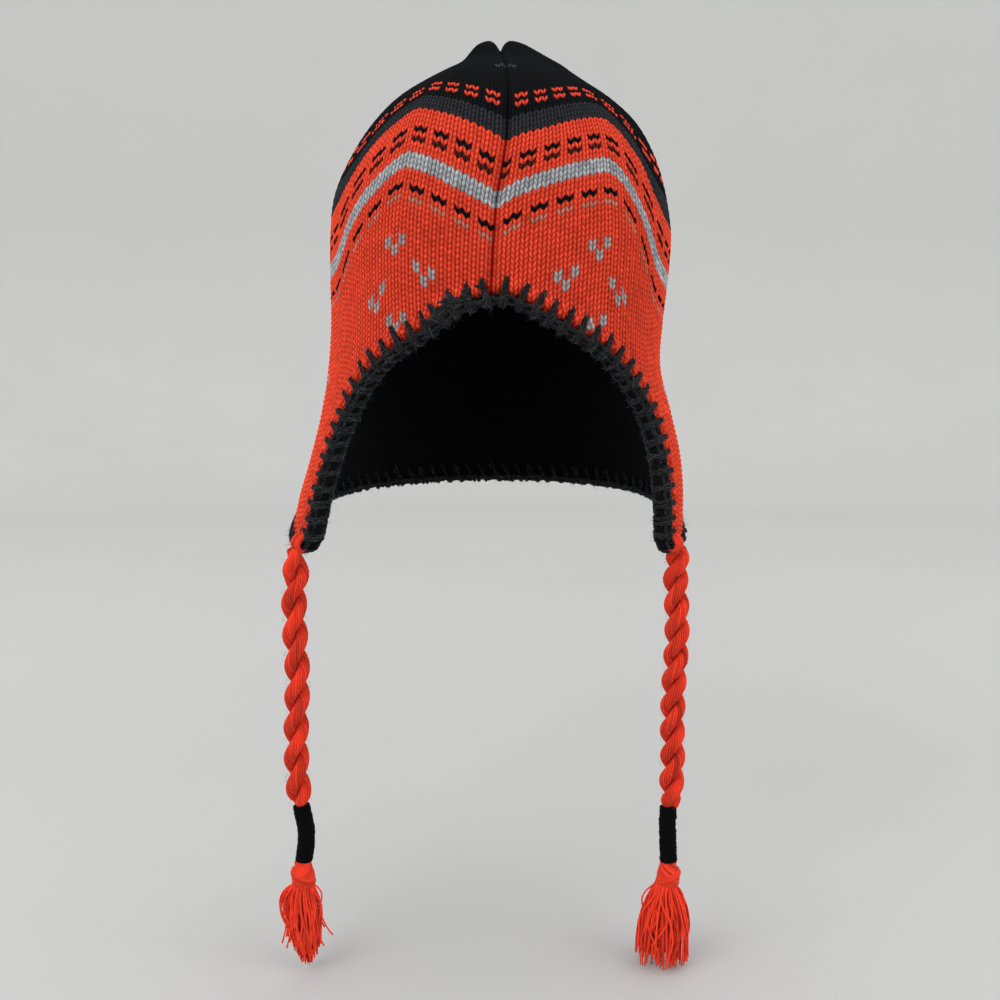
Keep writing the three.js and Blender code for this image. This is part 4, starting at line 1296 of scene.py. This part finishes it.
class HAT_OT_ties(bpy.types.Operator):
    """Builds the twisted ties, their windings, knots and tassels, and the bundles at the flap tips"""
    bl_idname = "hat.ties"
    bl_label = "Build Ties"

    def execute(self, context):
        settings = context.scene.hat_ties
        red = yarn_finish("red_yarn", settings.red, RED_SHEEN, twist=2.6, sheen=0.08, contrast=0.75)
        black = yarn_finish("black_yarn", settings.black, BLACK_SHEEN, twist=2.0, sheen=0.0,
                            contrast=0.9)
        loop = cloth_edge()
        for side, tie in TIES.items():
            shape, path, length = tie_rope(tie, settings)
            rope = shape.build(f"twisted_tie_{side}", red)
            fluff = fuzz([plied(path[None], 0.0033, 2 * tie["lobe"] * MM)], radius=0.0034, count=1100,
                         lengths=(0.0012, 0.0032), seed=tie["seed"] + 5, thick=0.00006)
            fluff = fluff.build(f"tie_fuzz_{side}", red)
            wrap = self.wrap(tie).build(f"winding_{side}", black)
            knot = self.knot(tie, settings).build(f"knot_{side}", red)
            tassel = self.tassel(tie, settings).build(f"strands_{side}", red)
            bundle = self.bundle(tie, settings, loop).build(f"tip_bundle_{side}", red)
            for piece, node, slot in (
                    (rope, "tie_rope", "red_yarn"), (wrap, "tie_wrap", "black_yarn"),
                    (knot, "tie_knot", "red_yarn"), (tassel, "tassel", "red_yarn"),
                    (bundle, "tie_loop", "red_yarn"), (fluff, "tie_rope", "red_yarn")):
                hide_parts(f"{node}_{side}")
        return {"FINISHED"}

    def wrap(self, tie):
        """A core along the route, one fine yarn wound round it in touching turns that sink in at the
        two ends, and short fibres."""
        core, winding, thread, packing = 0.0039, 0.0042, 0.00062, 0.93
        rings_per_turn, end_rings, end_depth, unevenness = 18, 12, 0.0012, 0.00014
        path, length = even_steps(through_points(np.array([tie["wrap"]]) * MM, 300)[0], 60)
        shape = Shape()
        shape.tubes(path[None], core, 16)
        turns = length / (2 * thread * packing)
        line, _ = even_steps(path, int(turns * rings_per_turn))
        from_end = np.minimum(np.arange(len(line)), np.arange(len(line))[::-1])
        sunk = end_depth * (1 - smoothstep(from_end, 0, end_rings))
        sunk = sunk + unevenness * lumps(tie["seed"], len(line), 40)
        coil = plied(line[None], winding - sunk[None, :], length / turns, 1)
        shape.tubes(coil, thread, CLOSE_SIDES)
        fibres = fuzz([coil], radius=0.0006, count=340, lengths=(0.0010, 0.0024),
                      seed=tie["seed"] + 6, thick=0.00007)
        shape.add(fibres.vertices[0], fibres.faces, fibres.uvs, fibres.shades[0])
        return shape

    def knot(self, tie, settings):
        """Yarns that wind steeply down a core that swells as smoothstep, and a slanting roll of rings
        round its lower part."""
        top = np.array(tie["knot"]) * MM
        shape = Shape()
        rng = np.random.default_rng(tie["seed"] + 1)
        neck, belly, draw, end = 0.0036, 0.0019, 0.0010, 0.0135
        down = np.linspace(-0.0006, end, 16)
        bulge = neck + belly * smoothstep(down, 0.0, 0.008) - draw * smoothstep(down, 0.0105, end)
        core = top + np.column_stack([0 * down, 0 * down, -down])
        # The knot's core gets painted shade where it shows between the yarns
        shape.tubes(core[None], bulge[None] - 0.0002, 16, np.array([KNOT_CORE_PAINTED_SHADE]))
        count, turns_per_metre, proud, unevenness = 30, 42, 0.0003, 0.00012
        share = np.arange(count)[:, None] / count
        turn = 2 * np.pi * (share + tie["mirror"] * turns_per_metre * down[None, :])
        out = bulge[None, :] + proud + rng.normal(0, unevenness, (count, 1))
        yarns = top + ring_points(out, turn, -down[None, :])
        shape.tubes(yarns, settings.yarn / 2, CLOSE_SIDES, rng.normal(0, 0.7, count))
        rings, least, swell, spacing, tilt, unevenness = 6, 0.0054, 0.0009, 0.00092, 0.44, 0.00008
        turn = np.linspace(0, 2 * np.pi, 41)[None, :]
        step = np.arange(rings)[:, None]
        radius = least + swell * np.sin(np.pi * (step + 0.7) / rings)
        radius = radius + rng.normal(0, unevenness, (rings, 1))
        height = -0.0062 - step * spacing + tie["mirror"] * tilt * radius * np.cos(turn)
        roll = top + ring_points(radius, turn, height)
        shape.tubes(roll, settings.yarn / 2, CLOSE_SIDES, rng.normal(0, 0.7, rings))
        return shape

    def tassel(self, tie, settings):
        """Strands that leave the knot close together, swing out and hang: distance from the axis is
        start + spread * (1 - (1 - t)^2), gathered in again towards the tips, with a slow seeded wave.
        The outer ones are shorter, and a few strays loop or curl away."""
        golden_turn, neck, reach, lift = 2.39996, 0.0050, 0.0475, 0.0022
        wave, strand, stray, strand_sway = 0.0013, 0.00056, 0.00048, 0.3
        top = np.array(tie["tassel"]) * MM
        rng = np.random.default_rng(tie["seed"] + 2)
        count = settings.strands
        t = np.linspace(0, 1, 20)[None, :]
        around = np.arange(count)[:, None] * golden_turn + rng.normal(0, 0.1, (count, 1))
        share = np.sqrt((np.arange(count)[:, None] + 0.5) / count)
        begin = neck * share
        spread = tie["spread"] * MM * share * rng.uniform(0.8, 1.1, (count, 1)) - begin
        length = reach * rng.uniform(tie["ragged"], 1.0, (count, 1)) * (1 - tie["taper"] * share ** 2)
        out = begin + spread * (1 - (1 - t) ** 2) * (1 - tie["gather"] * smoothstep(t, 0.35, 1.0))
        waves = rng.uniform(1.0, 3.4, (count, 1))
        sway = rng.normal(0, wave, (count, 1)) * np.sin(np.pi * t * waves)
        turn = around + rng.normal(0, strand_sway, (count, 1)) * t ** 2
        x = out * np.cos(turn) + sway * np.sin(turn) + tie["swing"] * MM * t ** 2
        y = out * np.sin(turn) - sway * np.cos(turn)
        strands = top + np.stack([x, y, lift - length * t ** 1.05], axis=-1)
        shape = Shape()
        # Painted light: the strands' shades have a mean of 0.9, which makes the tassel about a fifth
        # lighter than the ties, for the light that passes through its loose strands; the spread about it
        # is their own difference
        shape.tubes(strands, strand * (1 - 0.3 * t ** 8), YARN_SIDES, rng.normal(0.9, 0.8, count))
        strays = self.strays(top, tie, rng)
        # The strays get the same painted light
        shape.tubes(strays, stray, YARN_SIDES, rng.normal(0.9, 0.8, len(strays)))
        return shape

    def strays(self, top, tie, rng):
        """Loose strands at the two sides: loops that swell out as a sine and come back to the bundle,
        and free ones that run out as a power of t and curl down at the tip."""
        loop_reach, free_reach = (0.0045, 0.0095), (0.004, 0.0115)
        loop_length, free_length = (0.021, 0.034), (0.022, 0.038)
        begin, most_curl, sink, wave, flatness = 0.0042, 0.003, 0.001, 0.0012, 0.8
        t = np.linspace(0, 1, 24)[None, :]
        rows = []
        for right, (loops, free) in enumerate((tie["strays_left"], tie["strays_right"])):
            count = loops + free
            heading = (0 if right else np.pi) + rng.normal(0, 0.55, (count, 1))
            looping = np.arange(count)[:, None] < loops
            reach = np.where(looping, rng.uniform(*loop_reach, (count, 1)),
                             rng.uniform(*free_reach, (count, 1)))
            length = np.where(looping, rng.uniform(*loop_length, (count, 1)),
                              rng.uniform(*free_length, (count, 1)))
            curl = rng.uniform(-most_curl, most_curl, (count, 1))
            out = begin + np.where(looping, reach * np.sin(np.pi * t ** 0.9) - sink * t,
                                   reach * t ** 1.6 + curl * t ** 5)
            drop = length * t ** 1.1 - np.where(looping, 0.0, np.abs(curl) * t ** 8)
            sway = rng.normal(0, wave, (count, 1))
            sway = sway * np.sin(np.pi * rng.uniform(1.2, 2.8, (count, 1)) * t)
            x = out * np.cos(heading) - sway * np.sin(heading)
            y = (out * np.sin(heading) + sway * np.cos(heading)) * flatness
            rows.append(top + np.stack([x, y, sink - drop], axis=-1))
        return np.concatenate(rows)

    def bundle(self, tie, settings, loop):
        """A flat bundle of yarns along a route from inside the edge, under it and up the outside of
        the flap tip. Each yarn keeps its place across the bundle, on an oval of half_width by
        half_height times the route's distance, and turns slowly about its middle."""
        count, rings, middle, half_height, half_width, twist = 22, 32, 0.92, 0.30, 0.0048, 1.1
        tip = np.argmin(loop["middle"][:, 2] + (np.sign(loop["middle"][:, 0]) != tie["mirror"]))
        place = tip / len(loop["middle"])
        inward, down = np.array(LOOP_ROUTE).T * MM
        t = np.linspace(0, 1, len(inward))
        fill = 0.6 + 0.4 * smoothstep(t, 0.1, 0.5) - 0.35 * smoothstep(t, 0.85, 1.0)
        forward = -tie["mirror"] * LOOP_FORWARD * MM
        angle = 2 * np.pi * np.arange(count)[:, None] / count + twist * t
        grow = middle + half_height * fill * np.sin(angle)
        side = forward + half_width * fill * np.cos(angle)
        strands = through_points(at_loop(loop, place, inward * grow, down * grow, side), rings)
        core = at_loop(loop, place, middle * inward, middle * down, forward)
        shift = loop["along"][tip] * 0.0017
        core = through_points(core[None], rings) + np.array([[shift], [-shift]])
        rng = np.random.default_rng(tie["seed"] + 3)
        shape = Shape()
        shape.tubes(strands, settings.yarn / 2 * 1.02, YARN_SIDES, rng.normal(0, 0.6, count))
        # The bundle's core gets painted shade where it shows between the yarns
        shape.tubes(core, 0.0015, 8, np.full(2, KNOT_CORE_PAINTED_SHADE))
        return shape


class HAT_OT_knit(bpy.types.Operator):
    """Builds the knitted cloth stitch by stitch"""
    bl_idname = "hat.knit"
    bl_label = "Build Knit"

    def execute(self, context):
        material = knit_finish()
        step = 1 / ROWS_PER_STITCH
        limits = (COURSES[0], *SPLITS, COURSES[1])
        pieces = (("knit_crown", 8), ("knit_bands", 4), ("knit_skirt", 5))
        for index, (name, inner_steps) in enumerate(pieces):
            rows = np.arange(limits[index], limits[index + 1] + step / 2, step)
            piece = knit_piece(name, rows, inner_steps, index == 0, material)
            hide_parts("knit_shell")
        return {"FINISHED"}


class HAT_OT_lining(bpy.types.Operator):
    """Builds the brushed fleece lining"""
    bl_idname = "hat.lining"
    bl_label = "Build Lining"

    def execute(self, context):
        columns, rows, outer_rows, above_rim, tuft_height = 260, 76, 14, 0.4, 0.0005
        index = np.linspace(-1, 1, columns, endpoint=False) * RIM_INDEX[-1]
        sign = np.where(index < 0, -1.0, 1.0)
        crown = np.interp(np.abs(index), RIM_INDEX, RIM_CROWN) * sign
        rim = rim_azimuth(index)
        end = rim_station(rim) - above_rim
        inside = self.layer(crown, rim, end, rows, CLOTH_DEPTH)
        tufts = np.random.default_rng(3).normal(0, 1, inside.shape[:2])
        tufts = (tufts + np.roll(tufts, 1, 0) + np.roll(tufts, 1, 1)
                 + np.roll(tufts, (1, 1), (0, 1))) / 4
        inward = -unit(inside * np.array([1.0, 1.0, 0.0]))
        height = tufts * tuft_height * smoothstep(np.arange(rows), 2, 8)[:, None]
        inside = inside + inward * height[..., None]
        outside = self.layer(crown, rim, end, outer_rows, LINING_TOP)
        shape = Shape().grid(np.concatenate([outside, inside[::-1]]))
        lining = shape.build("brushed_lining", fleece_finish(context.scene.hat_knit.fleece))
        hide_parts("fleece_lining")
        return {"FINISHED"}

    def layer(self, crown, rim, end, rows, depth):
        """Rings of the cloth at a depth, whose lines bend towards the flap tips as smoothstep."""
        top, crowding = 0.5, 0.8
        share = np.linspace(0, 1, rows)[:, None] ** crowding
        station = top + (end[None, :] - top) * share
        bend = smoothstep(station, BEND_START, end[None, :])
        azimuth = crown[None, :] + (rim - crown)[None, :] * bend
        points = form_point(azimuth, station, depth)
        points[0] = points[0].mean(axis=0)
        return points


# Edge yarn in metres: the pitch of its twist, and the shares of a strand that its plies are apart and
# thick
EDGE_TWIST = 0.0056
PLY_APART, PLY_THICK = 0.34, 0.42
# Rails along the edge: outward, down, how far they bow out between the stitches, and seed
RAILS = (
    (0.0040, 0.0026, -0.0011, 1), (0.0044, 0.0006, 0.0003, 2),
    (-0.0039, 0.0028, 0.0011, 3), (-0.0044, 0.0008, -0.0003, 4),
)
# Route of an edge stitch: share of its length up the cloth, and outward; then of one up the lining
SPIKE_SHARE = np.array([1.02, 1.0, 0.82, 0.55, 0.25, -0.05, -0.30])
SPIKE_OUT = np.array([0.0006, 0.0021, 0.0029, 0.0032, 0.0038, 0.0046, 0.0040])
INNER_SHARE = np.array([1.0, 0.95, 0.7, 0.35, 0.0, -0.4])
INNER_OUT = -np.array([0.0020, 0.0034, 0.0040, 0.0043, 0.0046, 0.0036])
# Route of a rung over the edge: outward, and down off the cloth
RUNG_OUT = np.array([0.0044, 0.0038, 0.0023, 0.0, -0.0023, -0.0038, -0.0043])
RUNG_DOWN = np.array([0.0006, 0.0028, 0.0039, 0.0043, 0.0039, 0.0028, 0.0008])
# The two rungs of a stitch: where each starts along the edge, its slant, its bow and its seed
RUNGS = ((-0.0017, 0.0002, 0.0013, 50), (0.0017, 0.0006, -0.0013, 51))
# How far the edge yarn's tangle is from the middle of the front
TANGLE_PLACE = -0.024


class HAT_OT_edge(bpy.types.Operator):
    """Builds the rolled edge and its blanket stitches in fuzzy doubled yarn"""
    bl_idname = "hat.edge"
    bl_label = "Build Edge"

    def execute(self, context):
        settings = context.scene.hat_edge
        loop = cloth_edge()
        # The core's colour is painted shade: the edge yarn darkened where it lies deep between the
        # stitches
        yarn, dark, fly = (
            yarn_finish(name, colour, CHARCOAL_SHEEN, 3.0, sheen, contrast)
            for name, colour, sheen, contrast in (
                ("charcoal_yarn", settings.colour, 0.06, 0.9),
                ("charcoal_core", settings.core, 0.0, 0.9),
                ("charcoal_fuzz", settings.fuzz, 0.3, 0.4)))
        strands = []
        pieces = [
            self.core(loop).build("edge_core", dark),
            self.rails(loop, settings, strands).build("edge_rails", yarn),
            self.spikes(loop, settings, strands).build("edge_stitches", yarn),
            self.rungs(loop, settings, strands).build("edge_rungs", yarn),
            self.tangle(loop, settings, strands).build("edge_tangle", yarn),
            fuzz(strands, radius=settings.strand * 0.62, count=4300, lengths=(0.003, 0.007),
                 seed=61).build("edge_fuzz", fly),
        ]
        for piece in pieces:
            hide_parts("edge_roll")
        return {"FINISHED"}

    def core(self, loop):
        """An oval carried along the rim just off the cloth's edge, with slow lumps. It takes the darker
        core colour, painted shade where it shows between the stitches.
        """
        rings, sides, half_width, middle, half_height, unevenness = 600, 14, 0.0043, 0.0009, 0.0026, 0.06
        turn = round_turn(sides)[None, :]
        swell = 1 + unevenness * lumps(4, rings, 90)[:, None]
        points = at_loop(loop, np.arange(rings)[:, None] / rings, half_width * np.cos(turn) * swell,
                         middle + half_height * np.sin(turn) * swell)
        return Shape().grid(points, wrap_rows=True, flip=True)

    def rails(self, loop, settings, strands):
        """Yarn along the outer and the inner corner of the edge, which bows out between the
        stitches as the size of a sine, in eight lengths that meet."""
        count, spans, unevenness = 1000, 8, 0.0004
        share = np.arange(count) / count
        bow = np.abs(np.sin(np.pi * share * stitch_count()))
        shape = Shape()
        rng = np.random.default_rng(9)
        for out, down, sway, seed in RAILS:
            wander = lumps(seed + 6, count, 90) * unevenness
            line = at_loop(loop, share, out + sway * bow + wander, down + wander)
            size = count // spans
            closed = np.concatenate([line, line[:size + 1]])
            lengths = np.array([closed[k * size:(k + 1) * size + 1] for k in range(spans)])
            self.wind(shape, lengths, settings.strand, rng)
            strands.append(lengths[:, ::4])
        return shape

    def wind(self, shape, paths, strand, rng, phase=0.0):
        """Two plies wound round each path, with a shade for each."""
        wound = plied(paths, strand * PLY_APART, EDGE_TWIST, 2, phase)
        shape.tubes(wound, strand * PLY_THICK, YARN_SIDES, rng.normal(0, 0.8, len(wound)))

    def doubled(self, shape, points, rings, strand, seed, strands):
        """Two-ply yarns through rows of points."""
        paths = through_points(points, rings)
        self.wind(shape, paths, strand, np.random.default_rng(seed), seed)
        strands.append(paths)

    def spikes(self, loop, settings, strands):
        """Edge stitches up the outside of the cloth, and shorter ones up the lining. Each is two
        strands that leave the hole at the stitch's top, lie on the cloth and turn over the edge. They
        are shorter down the flaps and behind the flap tips."""
        shorter_on_flap, shorter_behind, side_start, side_end = 0.16, 0.3, 0.055, 0.095
        most_lean, inner_length, inner_lean, inner_place = 0.0007, 0.0068, 0.0030, 0.35
        stitches = stitch_count()
        rng = np.random.default_rng(17)
        place = np.arange(stitches)[:, None] / stitches
        x, y, _ = at_loop(loop, place, 0.0, 0.0).T
        length = settings.spike * rng.uniform(0.86, 1.1, stitches)
        length = length * (1 - shorter_on_flap * smoothstep(np.abs(x[0]), side_start, side_end))
        behind = smoothstep(np.abs(np.arctan2(x[0], -y[0])), *TIP_BACK)
        length = (length * (1 - shorter_behind * behind))[:, None]
        lean = rng.normal(0, most_lean, (stitches, 1))
        shape = Shape()
        for strand in (-1, 1):
            spread = strand * settings.strand * 0.46 * (0.45 + 0.75 * (1 - SPIKE_SHARE))
            points = at_loop(loop, place, SPIKE_OUT, -length * SPIKE_SHARE, spread + lean * SPIKE_SHARE)
            self.doubled(shape, points, 14, settings.strand, 30 + strand, strands)
        points = at_loop(loop, place + inner_place / stitches, INNER_OUT, -inner_length * INNER_SHARE,
                         inner_lean * INNER_SHARE)
        self.doubled(shape, points, 10, settings.strand, 40, strands)
        return shape

    def tangle(self, loop, settings, strands):
        """A loose tangle of edge yarn on the cloth left of the front seam: arcs that rise from the
        edge as 1 - t^2, and one long stitch from it back to the edge."""
        count, knots, wander, drift = 11, 7, 0.0007, 0.0025
        least_rise, most_rise, least_out, more_out, out_wander = 0.0004, 0.0054, 0.0034, 0.0014, 0.0003
        rng = np.random.default_rng(33)
        behind = loop["middle"][:, 1] > 0
        place = np.argmin(np.abs(loop["middle"][:, 0] - TANGLE_PLACE) + behind) / len(behind)
        steps = np.linspace(-1, 1, knots)[None, :]
        shape = Shape()
        half = rng.uniform(0.005, 0.0125, (count, 1)) * rng.choice([-1, 1], (count, 1))
        side = half * steps + rng.normal(0, drift, (count, 1)) + rng.normal(0, wander, (count, knots))
        rise = least_rise + rng.uniform(0.2, 1.0, (count, 1)) * most_rise * (1 - steps ** 2)
        rise = rise + rng.normal(0, wander, (count, knots))
        out = least_out + rng.uniform(0, more_out, (count, 1)) + rng.normal(0, out_wander, (count, knots))
        self.doubled(shape, at_loop(loop, place, out, -rise, side), 26, settings.strand, 34, strands)
        ease = (steps + 1) / 2
        long_stitch = at_loop(loop, place, 0.0036, -0.0056 + 0.0045 * ease, 0.003 + 0.017 * ease)
        self.doubled(shape, long_stitch, 20, settings.strand, 35, strands)
        return shape

    def rungs(self, loop, settings, strands):
        """Yarn over the edge from the outer corner to the inner one: two strands at each stitch that
        meet in the middle and spread at the corners, with a dark round eye to the next pair, and on
        the left more slanted."""
        left_slant, left_start, left_end, bow_wander, slant_wander = 0.0030, 0.02, 0.07, 0.0007, 0.0008
        stitches = stitch_count()
        place = np.arange(stitches)[:, None] / stitches
        ramp = np.linspace(0, 1, len(RUNG_OUT))
        left = smoothstep(-at_loop(loop, place, 0.0, 0.0)[..., 0], left_start, left_end)
        rng = np.random.default_rng(21)
        shape = Shape()
        for start, slant, bow, seed in RUNGS:
            bow = bow + rng.normal(0, bow_wander, (stitches, 1))
            slant = slant + left_slant * left + rng.normal(0, slant_wander, (stitches, 1))
            side = start + slant * smoothstep(ramp, 0, 1) + bow * np.sin(np.pi * ramp)
            points = at_loop(loop, place, RUNG_OUT, RUNG_DOWN, side)
            self.doubled(shape, points, 12, settings.strand, seed, strands)
        return shape


class HAT_PT_panel(bpy.types.Panel):
    """Lists the steps and sizes of the hat"""
    bl_idname = "HAT_PT_panel"
    bl_label = "Earflap Hat"
    bl_space_type = "VIEW_3D"
    bl_region_type = "UI"
    bl_category = "Hat"

    def draw(self, context):
        layout = self.layout
        for operator in OPERATORS:
            layout.operator(operator.bl_idname, text=operator.bl_label)
        for holder in SETTINGS:
            group = getattr(context.scene, holder)
            column = layout.column()
            for name in group.__annotations__:
                column.prop(group, name)


OPERATORS = (HAT_OT_stage, HAT_OT_ties, HAT_OT_knit, HAT_OT_lining, HAT_OT_edge)
SETTINGS = {
    "hat_knit": HatKnitSettings,
    "hat_edge": HatEdgeSettings,
    "hat_ties": HatTieSettings,
    "hat_stage": HatStageSettings,
}


def register():
    """Registers the settings, operators and panel, and puts the settings on the scene."""
    for group in SETTINGS.values():
        bpy.utils.register_class(group)
    for operator in OPERATORS:
        bpy.utils.register_class(operator)
    bpy.utils.register_class(HAT_PT_panel)
    for holder, group in SETTINGS.items():
        setattr(bpy.types.Scene, holder, PointerProperty(type=group))


def unregister():
    """Takes the settings, panel and operators away again."""
    for holder in SETTINGS:
        delattr(bpy.types.Scene, holder)
    bpy.utils.unregister_class(HAT_PT_panel)
    for operator in reversed(OPERATORS):
        bpy.utils.unregister_class(operator)
    for group in SETTINGS.values():
        bpy.utils.unregister_class(group)


def main():
    register()
    bpy.ops.hat.stage()
    bpy.ops.hat.ties()
    bpy.ops.hat.knit()
    bpy.ops.hat.lining()
    bpy.ops.hat.edge()


if __name__ == "__main__":
    main()
